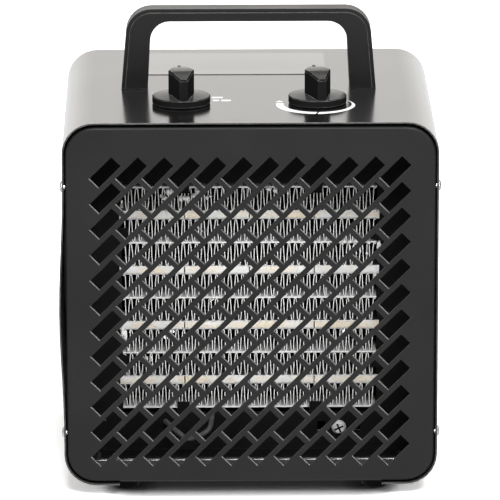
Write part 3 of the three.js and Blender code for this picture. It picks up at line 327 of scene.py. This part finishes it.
SCREW = metal("zinc screw, shank in painted shade", (0.66, 0.67, 0.69), (0.40, 0.41, 0.43), 0.24,
              painted=(wrap_high.x - wrap_low.x) / 2 - 2.6 * MM)
# A near-white, half-metallic copy of the zinc for the inner plate's screw: a painted highlight where little light
# reaches.
SCREW_FACE_HIGHLIGHT = metal("zinc screw face, painted highlight", (0.95, 0.95, 0.94), (0.60, 0.60, 0.59), 0.36, metallic=0.35)
FIN = metal("fin aluminium", (0.40, 0.405, 0.41), grey(0.28), 0.22, stretch=(1, 0.05, 1), scale=2500.0)
SHEET = metal("rolled aluminium sheet", (0.90, 0.90, 0.89), grey(0.8), 0.3, stretch=(0.05, 1, 1), scale=2500.0)
CUT_EDGE = metal("cut aluminium edge", (0.97, 0.97, 0.96), (0.92, 0.92, 0.91), 0.55, stretch=(1, 1, 0.1), scale=3000.0,
                 metallic=0.35)
COPPER = metal("enamelled copper", (0.50, 0.19, 0.08), (0.30, 0.11, 0.05), 0.3, scale=1500.0)
LAMINATED = metal("silicon steel laminations", (0.30, 0.30, 0.31), (0.16, 0.15, 0.14), 0.42, stretch=(0.03, 1, 0.03),
                  scale=1800.0, depth=0.0001)
STONE = ceramic("fired stone", (0.78, 0.795, 0.79), (0.83, 0.73, 0.57), 0.42)
PASTE = coated("white silicone paste", (0.97, 0.97, 0.96), (0.97, 0.97, 0.96), 0.30, coat=1.0, coat_roughness=0.3,
               depth=0.00003, specks=0.0, edge=0.2)
OLD_PASTE = ceramic("greyed silicone paste", (0.34, 0.36, 0.31), (0.24, 0.26, 0.21), 0.4)

# ------------------------------------------------------------------------------ CAD nodes

SMOOTH_ANGLE = math.radians(32)


def smooth_tree():
    """A modifier that shades every edge smooth whose faces meet at less than the smooth angle."""
    tree = bpy.data.node_groups.new("smooth_by_angle", "GeometryNodeTree")
    tree.interface.new_socket("Geometry", in_out="INPUT", socket_type="NodeSocketGeometry")
    tree.interface.new_socket("Geometry", in_out="OUTPUT", socket_type="NodeSocketGeometry")
    t = Tree(tree)
    given, out = t.add("NodeGroupInput"), t.add("NodeGroupOutput")
    faces = t.add("GeometryNodeSetShadeSmooth", {"domain": "FACE"}, Geometry=given.outputs[0])
    angle = t.add("GeometryNodeInputMeshEdgeAngle").outputs["Unsigned Angle"]
    flat = t.add("FunctionNodeCompare", {"operation": "LESS_THAN"}, A=angle, B=SMOOTH_ANGLE)
    edges = t.add("GeometryNodeSetShadeSmooth", {"domain": "EDGE"}, Geometry=faces.outputs[0])
    t.put(edges, "Shade_Smooth", flat.outputs[0])
    t.put(out, "Geometry", edges.outputs[0])
    return tree


SMOOTH = smooth_tree()


def finish_piece(obj, mat, bevel, segments):
    """A CAD node's material, smooth bends and, where bevel isn't 0, slightly rounded edges."""
    obj.data.materials.clear()
    obj.data.materials.append(mat)
    obj.modifiers.new("weld", "WELD").merge_threshold = TINY
    obj.modifiers.new("smooth", "NODES").node_group = SMOOTH
    if bevel:
        rounding = obj.modifiers.new("rounding", "BEVEL")
        rounding.width, rounding.segments = bevel, segments
        rounding.limit_method, rounding.angle_limit = "ANGLE", SMOOTH_ANGLE
        rounding.harden_normals = True
        rounding.use_clamp_overlap = True
    even = obj.modifiers.new("even shading", "WEIGHTED_NORMAL")
    even.keep_sharp, even.weight = True, 100


def matching(*starts):
    return [name for name in nodes if name.startswith(starts)]


FINISHES = [  # nodes, material, width of the rounding in metres, its segments
    (["casing_wrap"], WRAP, 0.00022, 2),
    (["base_plate"], ENAMEL_LIGHTENED, 0.0002, 1),
    (["front_grille", "rear_grille"], POWDER, 0.0, 0),
    (["core_plate"], INNER_PLATE, 0.0002, 1),
    (["fan_shroud"], INNER, 0.0002, 1),
    (["handle"], PLASTIC, 0.0009, 3),
    (["mode_knob", "thermostat_knob"], KNOB, 0.0004, 3),
    (["cable_gland", "gland_nut"], PLASTIC, 0.0004, 2),
    (matching("foot_"), RUBBER, 0.0004, 2),
    (matching("side_screw"), SCREW, 0.0002, 2),
    (["core_plate_screw"], SCREW_FACE_HIGHLIGHT, 0.0002, 2),
    (matching("handle_screw", "motor_bracket", "motor_bridge", "impeller_nut", "fan_shaft",
              "mode_shaft", "thermostat_shaft"), ZINC, 0.0002, 2),
    (matching("core_separator"), CUT_EDGE, 0.0, 0),
    (matching("fin_pack"), FIN, 0.0, 0),
    (matching("ptc_strip"), STONE, 0.0, 0),
    (matching("core_end", "mode_switch", "thermostat_body", "thermal_cutout"), PHENOLIC, 0.0003, 2),
    (["motor_stator"], LAMINATED, 0.0003, 2),
    (["motor_coil"], COPPER, 0.0015, 3),
    (["terminal_block"], NYLON, 0.0004, 2),
    (["fan_impeller"], BLADES, 0.0003, 2),
]
for names, mat, width, segments in FINISHES:
    for name in names:
        finish_piece(nodes[name], mat, width, segments)

# ------------------------------------------------------------------------------ own pieces

def link_piece(name, mesh, mats, body="housing", slot=None, replaced=()):
    """Puts a piece in the scene, riding on a body, and hides the CAD nodes it stands in for. The slot is not used."""
    for mat in mats:
        mesh.materials.append(mat)
    obj = bpy.data.objects.new(name, mesh)
    scene.collection.objects.link(obj)
    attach(obj, body)
    if replaced:
        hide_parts(*replaced)
    obj.modifiers.new("smooth", "NODES").node_group = SMOOTH


def piece_from(name, verts, faces, mats, face_mats=None, **how):
    mesh = bpy.data.meshes.new(name)
    mesh.from_pydata(verts, [], faces)
    if face_mats:
        mesh.polygons.foreach_set("material_index", face_mats)
    mesh.validate()
    link_piece(name, mesh, mats, **how)


def piece_from_bmesh(name, bm, mats, **how):
    bmesh.ops.recalc_face_normals(bm, faces=bm.faces)
    mesh = bpy.data.meshes.new(name)
    bm.to_mesh(mesh)
    bm.free()
    link_piece(name, mesh, mats, **how)


def ribbon(path, half, near, far):
    """A bent strip: a path of (x, z) points thickened both ways and pulled from near to far along Y.
    Gives its corners, its faces, and for each face whether it is a cut edge."""
    verts, faces, cut = [], [], []
    for i, point in enumerate(path):
        before, after = path[max(i - 1, 0)], path[min(i + 1, len(path) - 1)]
        along = (after - before).normalized()
        side = Vector((-along.y, along.x)) * half
        front = near[i] if isinstance(near, list) else near
        for edge in (point + side, point - side):
            verts += [(edge.x, front, edge.y), (edge.x, far, edge.y)]
    for i in range(len(path) - 1):
        a, b = 4 * i, 4 * i + 4
        faces += [(a, a + 2, b + 2, b), (a + 1, b + 1, b + 3, a + 3)]
        faces += [(a, b, b + 1, a + 1), (a + 2, a + 3, b + 3, b + 2)]
        cut += [1, 1, 0, 0]
    last = 4 * (len(path) - 1)
    faces += [(0, 1, 3, 2), (last, last + 2, last + 3, last + 1)]
    cut += [1, 1]
    return verts, faces, cut


# Corrugated fins: one thin sheet folded to and fro, no two folds quite alike.
FIN_PACKS = 8
FIN_SHEET = 0.46 * MM
FIN_WALLS = 76
FOLD_RADIUS = 0.60 * MM
FIN_STRAY = 0.16 * MM
FIN_BOW = 0.22 * MM
FIN_SETBACK, FIN_WAVE, FIN_JITTER = 0.10 * MM, 0.08 * MM, 0.05 * MM  # of the front edge
FIN_SEED = 4100


def fin_path(low, high, chance):
    """The zigzag as (x, z) points: round folds at the crests, and walls that bow a little."""
    half = FIN_SHEET / 2
    crest = (high.z - low.z) / 2 - half
    middle = (high.z + low.z) / 2
    margin = FOLD_RADIUS + half
    step = (high.x - low.x - 2 * margin) / FIN_WALLS
    folds = [low.x + margin + step * k + chance.uniform(-1, 1) * FIN_STRAY for k in range(FIN_WALLS + 1)]
    folds[0], folds[-1] = low.x + margin, high.x - margin
    path = []
    for k, x in enumerate(folds):
        up = 1 if k % 2 == 0 else -1
        radius = FOLD_RADIUS * chance.uniform(0.75, 1.0)
        for degrees in (-78, -42, 0, 42, 78):
            a = math.radians(degrees)
            path.append(Vector((x + radius * math.sin(a), middle + up * (crest - radius + radius * math.cos(a)))))
        if k == FIN_WALLS:
            break
        bow = chance.gauss(0, 0.5) * FIN_BOW
        ahead = folds[k + 1]
        for share, part in ((0.3, 0.8), (0.65, 0.9)):
            level = up * (1 - 2 * share) * crest
            path.append(Vector((x + FOLD_RADIUS + (ahead - x - 2 * FOLD_RADIUS) * share + bow * part, middle + level)))
    return path


def make_fins(number):
    node = f"fin_pack_{number}"
    low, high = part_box(node)
    chance = random.Random(FIN_SEED + number)
    path = fin_path(low, high, chance)
    near = [low.y + FIN_SETBACK + FIN_WAVE * math.sin(i * 0.37 + number) + FIN_JITTER * chance.random()
            for i in range(len(path))]
    verts, faces, cut = ribbon(path, FIN_SHEET / 2, near, high.y)
    piece_from(f"fins_{number}", verts, faces, [FIN, CUT_EDGE], cut, slot="aluminium", replaced=[node])


# A heating strip: fired stones in a row between two contact sheets, with dark joints.
STRIPS = 4
STONES_PER_STRIP = 4
STONE_JOINT = 0.55 * MM
STONE_EDGE = 0.35 * MM
STONE_INSET = 0.25 * MM  # behind the front and rear edges of the contact sheets
STONE_BUMPS = 0.10 * MM
STONE_SEED = 5200
CONTACT_SHEET = 0.5 * MM
SHEET_WAVE = 0.06 * MM  # of its front edge
SHEET_STEPS = 40


def stone(bm, x0, x1, y0, y1, z0, z1, chance):
    """A brick with rounded edges whose faces are a little uneven."""
    made = bmesh.ops.create_cube(bm, size=1.0)["verts"]
    for v in made:
        v.co = Vector((
            (x0 + x1) / 2 + v.co.x * (x1 - x0),
            (y0 + y1) / 2 + v.co.y * (y1 - y0),
            (z0 + z1) / 2 + v.co.z * (z1 - z0),
        ))
    edges = list({e for v in made for e in v.link_edges})
    bmesh.ops.bevel(bm, geom=edges, offset=STONE_EDGE, segments=2, affect="EDGES", profile=0.6)
    long_edges = [e for e in bm.edges if e.calc_length() > 5 * MM
                  and min(v.co.x for v in e.verts) >= x0 - TINY and max(v.co.x for v in e.verts) <= x1 + TINY]
    bmesh.ops.subdivide_edges(bm, edges=long_edges, cuts=9, use_grid_fill=True)
    shift = Vector([chance.uniform(0, 50) for _ in range(3)])
    for v in bm.verts:
        if x0 - TINY <= v.co.x <= x1 + TINY and v.co.y < (y0 + y1) / 2:
            v.co.y += STONE_BUMPS * noise.noise(v.co * 420 + shift)


def make_strip(number):
    node = f"ptc_strip_{number}"
    low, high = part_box(node)
    chance = random.Random(STONE_SEED + number)
    run = (high.x - low.x) / STONES_PER_STRIP
    bm = bmesh.new()
    for k in range(STONES_PER_STRIP):
        x0 = low.x + k * run + (STONE_JOINT / 2 if k else 0)
        x1 = low.x + (k + 1) * run - (STONE_JOINT / 2 if k < STONES_PER_STRIP - 1 else 0)
        stone(bm, x0, x1, low.y + STONE_INSET, high.y - STONE_INSET,
              low.z + CONTACT_SHEET, high.z - CONTACT_SHEET, chance)
    piece_from_bmesh(f"stones_{number}", bm, [STONE], slot="ceramic", replaced=[node])
    for side, z0, z1 in (("lower", low.z, low.z + CONTACT_SHEET), ("upper", high.z - CONTACT_SHEET, high.z)):
        path = [Vector((low.x + (high.x - low.x) * i / SHEET_STEPS, (z0 + z1) / 2)) for i in range(SHEET_STEPS + 1)]
        near = [low.y + SHEET_WAVE * (1 + noise.noise(Vector((p.x * 300, number, z0)))) for p in path]
        verts, faces, cut = ribbon(path, (z1 - z0) / 2, near, high.y)
        rim = CUT_EDGE if side == "upper" else SHEET
        piece_from(f"contact_sheet_{number}_{side}", verts, faces, [SHEET, rim], cut, slot="aluminium")


def lumps(name, places, mat):
    """Pressed-out paste on the core's face: uneven drops at (x, z, width, height) in mm."""
    bm = bmesh.new()
    for k, (x, z, width, height) in enumerate(places):
        depth = 0.8 + 1.1 * min(width, height)
        centre = Vector((x, 0, z)) * MM + Vector((0, PASTE_Y, 0))
        drop = bmesh.ops.create_icosphere(bm, subdivisions=3, radius=0.5)["verts"]
        shift = Vector((x, k * 3.1, 0))
        for v in drop:
            swell = 1 + 0.34 * noise.noise(v.co * 3.1 + shift) + 0.12 * noise.noise(v.co * 8.0 + shift)
            v.co = Vector((v.co.x * width, v.co.y * depth, v.co.z * height)) * MM * swell + centre
    piece_from_bmesh(name, bm, [mat], slot="white_plastic")


for number in range(1, FIN_PACKS + 1):
    make_fins(number)
for number in range(1, STRIPS + 1):
    make_strip(number)

PASTE_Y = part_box("fin_pack_1")[0].y - 0.5 * MM
lumps("paste", [
    (50.5, 125.8, 1.2, 1.8), (51.3, 127.0, 3.0, 1.5), (54.5, 127.0, 3.2, 1.4), (58.1, 127.1, 2.2, 2.2),
    (54.5, 123.0, 1.1, 4.0), (57.9, 125.3, 1.4, 1.6), (56.3, 124.0, 0.9, 1.8), (60.0, 121.7, 1.2, 2.6),
    (61.5, 123.2, 0.9, 1.6), (58.1, 120.4, 0.9, 1.2), (63.7, 120.2, 1.5, 1.6), (64.7, 126.5, 1.7, 1.9),
    (70.3, 124.8, 2.6, 5.6), (-69.1, 76.9, 1.9, 5.8), (-67.4, 75.1, 2.0, 5.6), (-65.0, 77.0, 1.0, 1.7),
    (-55.8, 61.6, 1.2, 2.4), (-53.5, 61.6, 1.2, 2.8), (-66.2, 66.9, 1.0, 2.2), (-44.0, 155.4, 2.4, 3.6),
    (-42.1, 155.4, 2.6, 4.2), (-45.9, 152.0, 2.8, 2.6), (-47.9, 153.0, 1.2, 1.8), (-37.0, 151.5, 2.1, 2.9),
    (-35.1, 151.9, 1.7, 2.8), (-33.2, 151.4, 2.5, 3.4), (-30.0, 153.2, 2.3, 2.6), (-27.8, 154.9, 3.0, 3.4),
    (-22.8, 151.9, 1.9, 2.2), (-20.9, 152.9, 1.4, 1.5), (10.5, 156.7, 3.3, 1.7), (13.9, 156.0, 2.2, 2.8),
    (20.9, 154.4, 1.1, 1.8), (68.5, 144.6, 1.1, 1.6), (68.1, 108.1, 1.8, 2.3), (-69.0, 149.9, 1.3, 2.4),
], PASTE)
lumps("paste_greyed", [(-69.1, 147.5, 2.1, 3.0)], OLD_PASTE)

# ------------------------------------------------------------------------------ slot edges

BEAD_TUCK, BEAD_PROUD = 0.10, 0.05  # mm that a bead reaches into the sheet, and stands out of it
LEVEL, SHORTEST = 0.01 * MM, 2 * MM  # slot walls this near the face, and longer than this, get one


def slot_edges(node, inward, width, depth, name, mat):
    """A rounded bead from face to wall, along each slot edge whose wall faces the given way."""
    obj = nodes[node]
    place = obj.matrix_world
    turn = place.to_3x3()
    inward = Vector(inward).normalized()
    bm = bmesh.new()
    for face in obj.data.polygons:
        if (turn @ face.normal).dot(inward) < 0.99:
            continue
        ends = [place @ obj.data.vertices[i].co for i in face.vertices]
        ends = [p for p in ends if abs(p.y - PANEL_Y) < LEVEL]
        if len(ends) != 2 or (ends[0] - ends[1]).length < SHORTEST:
            continue
        along = (ends[1] - ends[0]).normalized() * width
        rings = []
        for end in (ends[0] - along * 0.5, ends[1] + along * 0.5):
            ring = [end - inward * width + Vector((0, BEAD_TUCK * MM, 0))]
            for k in range(5):
                a = math.radians(22.5 * k)
                out = inward * (width * (math.sin(a) - 1) + BEAD_PROUD * MM * math.sin(a))
                ring.append(end + out + Vector((0, depth * (1 - math.cos(a)) - BEAD_PROUD * MM * math.cos(a), 0)))
            ring.append(end - inward * BEAD_TUCK * MM + Vector((0, depth, 0)))
            rings.append([bm.verts.new(p) for p in ring])
        count = len(rings[0])
        for k in range(count):
            bm.faces.new([rings[0][k], rings[0][(k + 1) % count], rings[1][(k + 1) % count], rings[1][k]])
        bm.faces.new(rings[0][::-1])
        bm.faces.new(rings[1])
    piece_from_bmesh(name, bm, [mat], slot="grille_paint")


# Short edges, whose walls face up and right, carry the bright painted highlight; long edges carry the faint one.
slot_edges("front_grille", (1, 0, 1), 0.34 * MM, 0.5 * MM, "slot_edges_short", SLOT_EDGE_HIGHLIGHT)
slot_edges("front_grille", (-1, 0, 1), 0.16 * MM, 0.3 * MM, "slot_edges_long", SLOT_EDGE_FAINT_HIGHLIGHT)

# ------------------------------------------------------------------------------ marks on the roof

def slab(name, outline, z0, z1, mat, slot):
    """A thin flat piece: an (x, y) outline from z0 up to z1."""
    bm = bmesh.new()
    low, high = ([bm.verts.new((x, y, z)) for x, y in outline] for z in (z0, z1))
    count = len(outline)
    for i in range(count):
        k = (i + 1) % count
        bm.faces.new((low[i], low[k], high[k], high[i]))
    bm.faces.new(low[::-1])
    bm.faces.new(high)
    piece_from_bmesh(name, bm, [mat], slot=slot)


def rounded_rectangle(x0, x1, y0, y1, radius, steps=5):
    left, right, near, far = x0 + radius, x1 - radius, y0 + radius, y1 - radius
    ring = []
    for k, (cx, cy) in enumerate(((right, far), (left, far), (left, near), (right, near))):
        for i in range(steps + 1):
            a = math.radians(90 * (k + i / steps))
            ring.append((cx + radius * math.cos(a), cy + radius * math.sin(a)))
    return ring


INK_FILM = 0.05 * MM
LABEL_PLATE = 0.35 * MM
LABEL = (-66.0 * MM, 42.5 * MM, PANEL_Y + 111.8 * MM, PANEL_Y + 163.0 * MM)
LABEL_CORNER = 1 * MM

slab("label_plate", rounded_rectangle(*LABEL, LABEL_CORNER), ROOF_Z, ROOF_Z + LABEL_PLATE, FILM, "casing_paint")


def ink_mark(name, outline):
    slab(name, outline, ROOF_Z, ROOF_Z + INK_FILM, INK, "white_plastic")


# The heat scale: a band round the front of the right knob, split under its pointer, that narrows
# to a point at its hot end.
knob_low, knob_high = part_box("thermostat_knob")
dial_x, dial_y = (knob_low.x + knob_high.x) / 2, (knob_low.y + knob_high.y) / 2
SCALE_INNER, SCALE_OUTER = 18.3 * MM, 21.2 * MM
SCALE_SHIFT = Vector((-1.1 * MM, -1.0 * MM))
SCALE_CENTRE = Vector((dial_x, dial_y - 3.7 * MM))
SCALE_START, POINTER, SCALE_END = -188, -90, 34  # degrees
SPLIT = 1.6  # degrees on each side of the pointer
NARROWING, POINT = 3.2, 0.02  # how soon the band narrows, and the share of its width left at the point


def band(start, end, taper):
    """The scale's outline from one angle to another, drawn in to a point at its end with taper."""
    steps = 24
    inner, outer = [], []
    for i in range(steps + 1):
        a = math.radians(start + (end - start) * i / steps)
        way = Vector((math.cos(a), math.sin(a)))
        near = SCALE_CENTRE + way * SCALE_INNER
        far = SCALE_CENTRE + SCALE_SHIFT + way * SCALE_OUTER
        if taper:
            far = near.lerp(far, min(1.0, NARROWING * (1 - i / steps)) + POINT)
        inner.append(tuple(near))
        outer.append(tuple(far))
    return outer + inner[::-1]


ink_mark("heat_scale_low", band(SCALE_START, POINTER - SPLIT, False))
ink_mark("heat_scale_high", band(POINTER + SPLIT, SCALE_END, True))
cold = SCALE_CENTRE + Vector((-20.6 * MM, 6.4 * MM))
ink_mark("heat_scale_start", [
    (cold.x - 1.9 * MM, cold.y - 1.6 * MM), (cold.x + 2.2 * MM, cold.y - 1.2 * MM),
    (cold.x + 0.4 * MM, cold.y + 2.6 * MM),
])

# Plain bars for the fan settings, beside the left knob: x, depth behind the panel and width, in mm.
SETTING_BARS = ((-17.1, 57.6, 6.0), (-17.9, 50.8, 3.6), (-12.5, 50.8, 5.4))
BAR_HALF, BAR_CORNER = 1.5 * MM, 0.5 * MM
for number, (x, depth, width) in enumerate(SETTING_BARS, 1):
    y = PANEL_Y + depth * MM
    left, right = (x - width / 2) * MM, (x + width / 2) * MM
    ink_mark(f"setting_bar_{number}", rounded_rectangle(left, right, y - BAR_HALF, y + BAR_HALF, BAR_CORNER, 3))

# ------------------------------------------------------------------------------ inside the casing

def lead(name, points, radius, mat, slot, sides=10, steps=10):
    """A round lead along a smooth path through the points, with closed ends."""
    points = [Vector(p) for p in points]
    ends = [points[0] * 2 - points[1], *points, points[-1] * 2 - points[-2]]
    path = []
    for i in range(1, len(ends) - 2):
        a, b, c, d = ends[i - 1:i + 3]
        for k in range(steps):
            t = k / steps
            square, cube = 2 * a - 5 * b + 4 * c - d, 3 * b - a - 3 * c + d
            path.append(0.5 * (2 * b + (c - a) * t + square * t * t + cube * t ** 3))
    path.append(points[-1])
    bm = bmesh.new()
    rings = []
    side = Vector((0.31, 0.62, 0.72))
    for i, point in enumerate(path):
        along = (path[min(i + 1, len(path) - 1)] - path[max(i - 1, 0)]).normalized()
        side = (side - along * side.dot(along)).normalized()
        across = along.cross(side)
        turns = [2 * math.pi * k / sides for k in range(sides)]
        rings.append([bm.verts.new(point + radius * (math.cos(a) * side + math.sin(a) * across)) for a in turns])
    for near, far in zip(rings, rings[1:]):
        for k in range(sides):
            bm.faces.new((near[k], near[(k + 1) % sides], far[(k + 1) % sides], far[k]))
    bm.faces.new(rings[0][::-1])
    bm.faces.new(rings[-1])
    piece_from_bmesh(name, bm, [mat], slot=slot)


# A lead that loops out through the two small slots of the inner plate and back.
LEAD_RADIUS = 1.4 * MM
BEHIND_PLATE = PLATE_Y + 1.0 * MM + 9 * MM
lead("lead_loop", [
    (-46.0 * MM, BEHIND_PLATE, 27.6 * MM), (-39.4 * MM, PLATE_Y - 2.4 * MM, 25.2 * MM),
    (-32.6 * MM, PLATE_Y - 3.0 * MM, 21.4 * MM), (-22.7 * MM, PLATE_Y - 2.4 * MM, 26.2 * MM),
    (-20.5 * MM, BEHIND_PLATE, 31.0 * MM),
], LEAD_RADIUS, SLEEVE, "black_rubber")


def cross(name, centre, reach, half, front, back, turn, mat, slot):
    """A thin dark plus-shaped plate facing the front: painted shade standing in for the recess of a screw head."""
    flat = []
    for k in range(4):
        a = turn + k * math.pi / 2
        along, side = Vector((math.cos(a), 0, math.sin(a))), Vector((-math.sin(a), 0, math.cos(a)))
        flat += [along * reach - side * half, along * reach + side * half, (along + side) * half]
    verts = [centre + v + Vector((0, y, 0)) for y in (front, back) for v in flat]
    count = len(flat)
    faces = [tuple(range(2, count, 3)), tuple(reversed(range(count + 2, 2 * count, 3)))]
    for k in range(4):
        arm = ((3 * k - 1) % count, 3 * k, 3 * k + 1, 3 * k + 2)
        faces += [arm, tuple(count + i for i in reversed(arm))]
    faces += [((i + 1) % count, i, count + i, count + (i + 1) % count) for i in range(count)]
    piece_from(name, verts, faces, [mat], slot=slot)


screw_low, screw_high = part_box("core_plate_screw")
head = Vector(((screw_low.x + screw_high.x) / 2, screw_low.y, (screw_low.z + screw_high.z) / 2))
# A near-black cross on the head: painted shade for its recess.
cross("plate_screw_recess", head, reach=2.6 * MM, half=0.5 * MM, front=-0.06 * MM, back=0.1 * MM,
      turn=math.radians(24), mat=INNER, slot="zinc_steel")


def turned(name, centre, profile, mat, slot, turns=144):
    """A closed profile of (radius, y) turned about a line along Y through the centre."""
    bm = bmesh.new()
    rings = []
    for i in range(turns):
        a = 2 * math.pi * i / turns
        out = Vector((math.cos(a), 0, math.sin(a)))
        rings.append([bm.verts.new(centre + out * radius + Vector((0, y, 0))) for radius, y in profile])
    for i in range(turns):
        near, far = rings[i], rings[(i + 1) % turns]
        for k in range(len(profile)):
            j = (k + 1) % len(profile)
            bm.faces.new((near[k], near[j], far[j], far[k]))
    piece_from_bmesh(name, bm, [mat], slot=slot)


# The front lip of the shroud's collar, rolled in over the running gap at the blade tips.
fan_low, fan_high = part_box("fan_impeller")
fan_axis = Vector(((fan_low.x + fan_high.x) / 2, 0, (fan_low.z + fan_high.z) / 2))
LIP_CLEAR, LIP_SHEET, LIP_ROOM = 0.5 * MM, 0.8 * MM, 1.5 * MM
LIP_OVER = 0.8 * MM  # how far it reaches in over the blade tips
ROLL, CORNER = 0.2 * MM, 0.7 * MM
tip = (fan_high.x - fan_low.x) / 2
lip_in, lip_out = tip - LIP_OVER, tip + LIP_ROOM + LIP_SHEET
lip_back, lip_front = fan_low.y - LIP_CLEAR, fan_low.y - LIP_CLEAR - LIP_SHEET
lip_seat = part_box("fan_shroud")[0].y + 0.05 * MM
turned("shroud_lip", fan_axis, [
    (lip_in, lip_back), (lip_in - ROLL, (lip_back + lip_front) / 2), (lip_in, lip_front),
    (lip_out - CORNER, lip_front), (lip_out - ROLL, lip_front + ROLL), (lip_out, lip_front + CORNER),
    (lip_out, lip_seat), (tip + LIP_ROOM, lip_seat), (tip + LIP_ROOM, lip_back),
], INNER, "inner_paint")

# ------------------------------------------------------------------------------ stage

WORLD_BACK, WORLD_SIDE, WORLD_FRONT, WORLD_TOP = 1.1, 0.6, 0.06, 0.5
WARM_WHITE = (1.0, 0.975, 0.945, 1)
FLOOR_TONE, FLOOR_SEEN = 0.8, 1.6  # the floor as it lights the object, and as it is seen
CONTACT_REACH, CONTACT_DEPTH = 12 * MM, 2.3  # the floor darkens close under the object,
CONTACT_HALF, CONTACT_FADE = 58 * MM, 22 * MM  # but less towards the rounded corners, where light gets in
FLOOR_HALF = 6.0


def backdrop_world():
    """Soft studio surroundings: a white backdrop behind, calmer in front and overhead."""
    world = bpy.data.worlds.new("studio")
    scene.world = world
    world.use_nodes = True
    t = Tree(world.node_tree)
    shader = world.node_tree.nodes["Background"]
    way = t.add("ShaderNodeTexCoord").outputs["Generated"]
    part = t.add("ShaderNodeSeparateXYZ", i0=way)
    depth = t.math("ADD", t.math("MULTIPLY", part.outputs["Y"], 0.5), 0.5)
    back = t.ramp(depth, (0.10, WORLD_FRONT), (0.5, WORLD_SIDE), (0.85, 1.0))
    overhead = t.ramp(part.outputs["Z"], (0.3, 1.0), (0.75, WORLD_TOP))
    tone = t.mix(1.0, back, overhead, "MULTIPLY")
    path = t.add("ShaderNodeLightPath")
    seen = t.math("MAXIMUM", path.outputs["Is Camera Ray"], path.outputs["Is Transmission Ray"])
    warm = t.mix(1.0, tone, WARM_WHITE, "MULTIPLY")
    t.put(shader, "Color", t.mix(seen, warm, (1, 1, 1, 1)))
    t.put(shader, "Strength", t.math("ADD", t.math("MULTIPLY", seen, 1.0 - WORLD_BACK), WORLD_BACK))


def floor():
    """A pale floor: the camera sees it white with the object's shadow, deepened close under the object by a painted
    contact shadow; reflections see plain white.
    """
    mesh = bpy.data.meshes.new("floor")
    corners = [(x * FLOOR_HALF, y * FLOOR_HALF, 0) for x, y in ((-1, -1), (1, -1), (1, 1), (-1, 1))]
    mesh.from_pydata(corners, [], [(0, 1, 2, 3)])
    obj = bpy.data.objects.new("floor", mesh)
    scene.collection.objects.link(obj)
    mat = bpy.data.materials.new("pale floor")
    mat.use_nodes = True
    mat.node_tree.nodes.clear()
    t = Tree(mat.node_tree)
    path = t.add("ShaderNodeLightPath")
    seen = t.math("MAXIMUM", path.outputs["Is Camera Ray"], path.outputs["Is Transmission Ray"])
    # Painted contact shadow: the camera-seen floor darkens where it is occluded nearby, less towards the corners.
    near = t.add("ShaderNodeAmbientOcclusion", {"samples": 8}, Distance=CONTACT_REACH).outputs["AO"]
    spot = t.add("ShaderNodeSeparateXYZ", i0=t.add("ShaderNodeNewGeometry").outputs["Position"])
    past = t.math("SUBTRACT", t.math("ABSOLUTE", spot.outputs["X"]), CONTACT_HALF)
    aside = t.math("DIVIDE", past, CONTACT_FADE, clamp=True)
    depth = t.math("MULTIPLY", t.math("SUBTRACT", 1.0, aside), CONTACT_DEPTH)
    contact = t.math("MULTIPLY", t.math("POWER", near, depth), FLOOR_SEEN)
    tone = t.mix(seen, (*grey(FLOOR_TONE), 1), contact)
    lit = t.add("ShaderNodeBsdfDiffuse", Color=tone)
    mirrored = t.add("ShaderNodeEmission", Color=(1, 1, 1, 1), Strength=1.0)
    both = t.add("ShaderNodeMixShader", Fac=path.outputs["Is Glossy Ray"], i1=lit, i2=mirrored)
    t.add("ShaderNodeOutputMaterial", Surface=both)
    obj.data.materials.append(mat)


LAMPS = (  # name, place, target, size, power, and whether glossy surfaces mirror it
    ("overhead", (0.45, -0.35, 2.4), (0, -0.2, 0), (1.3, 1.2), 12, True),
    ("front softbox", (0.3, -2.35, 2.15), (0, 0, 0.1), (1.2, 0.9), 118, True),
    ("left softbox", (-1.45, -1.55, 0.95), (0, 0, 0.05), (0.8, 0.6), 21, False),
    ("right softbox", (1.45, -1.55, 0.95), (0, 0, 0.05), (0.8, 0.6), 21, False),
)


def area_light(name, place, target, size, power, mirrored):
    data = bpy.data.lights.new(name, "AREA")
    data.shape, data.size, data.size_y = "RECTANGLE", *size
    data.energy = power
    obj = bpy.data.objects.new(name, data)
    scene.collection.objects.link(obj)
    obj.location = place
    obj.visible_glossy = mirrored
    obj.rotation_euler = (Vector(target) - Vector(place)).to_track_quat("-Z", "Y").to_euler()


LENS, SENSOR, FAR_CLIP = 400.542, 36.0, 50.0
CAMERA_PLACE = (-0.035277, PANEL_Y - 2.856575, 0.898159)
CAMERA_YAW, CAMERA_PITCH, CAMERA_ROLL = 0.0122324, 0.2602764, -0.0012514


def camera():
    data = bpy.data.cameras.new("camera")
    data.lens, data.sensor_width, data.clip_end = LENS, SENSOR, FAR_CLIP
    obj = bpy.data.objects.new("camera", data)
    scene.collection.objects.link(obj)
    yaw, pitch, roll = CAMERA_YAW, CAMERA_PITCH, CAMERA_ROLL
    ahead = Vector((math.sin(yaw) * math.cos(pitch), math.cos(yaw) * math.cos(pitch), -math.sin(pitch)))
    right = Vector((math.cos(yaw), -math.sin(yaw), 0))
    up = right.cross(ahead)
    across = math.cos(roll) * right + math.sin(roll) * up
    upward = -math.sin(roll) * right + math.cos(roll) * up
    turn = Matrix((across, upward, -ahead)).transposed().to_4x4()
    obj.matrix_world = Matrix.Translation(CAMERA_PLACE) @ turn
    scene.camera = obj


camera()
backdrop_world()
floor()
for lamp in LAMPS:
    area_light(*lamp)
scene.view_settings.view_transform = "Standard"
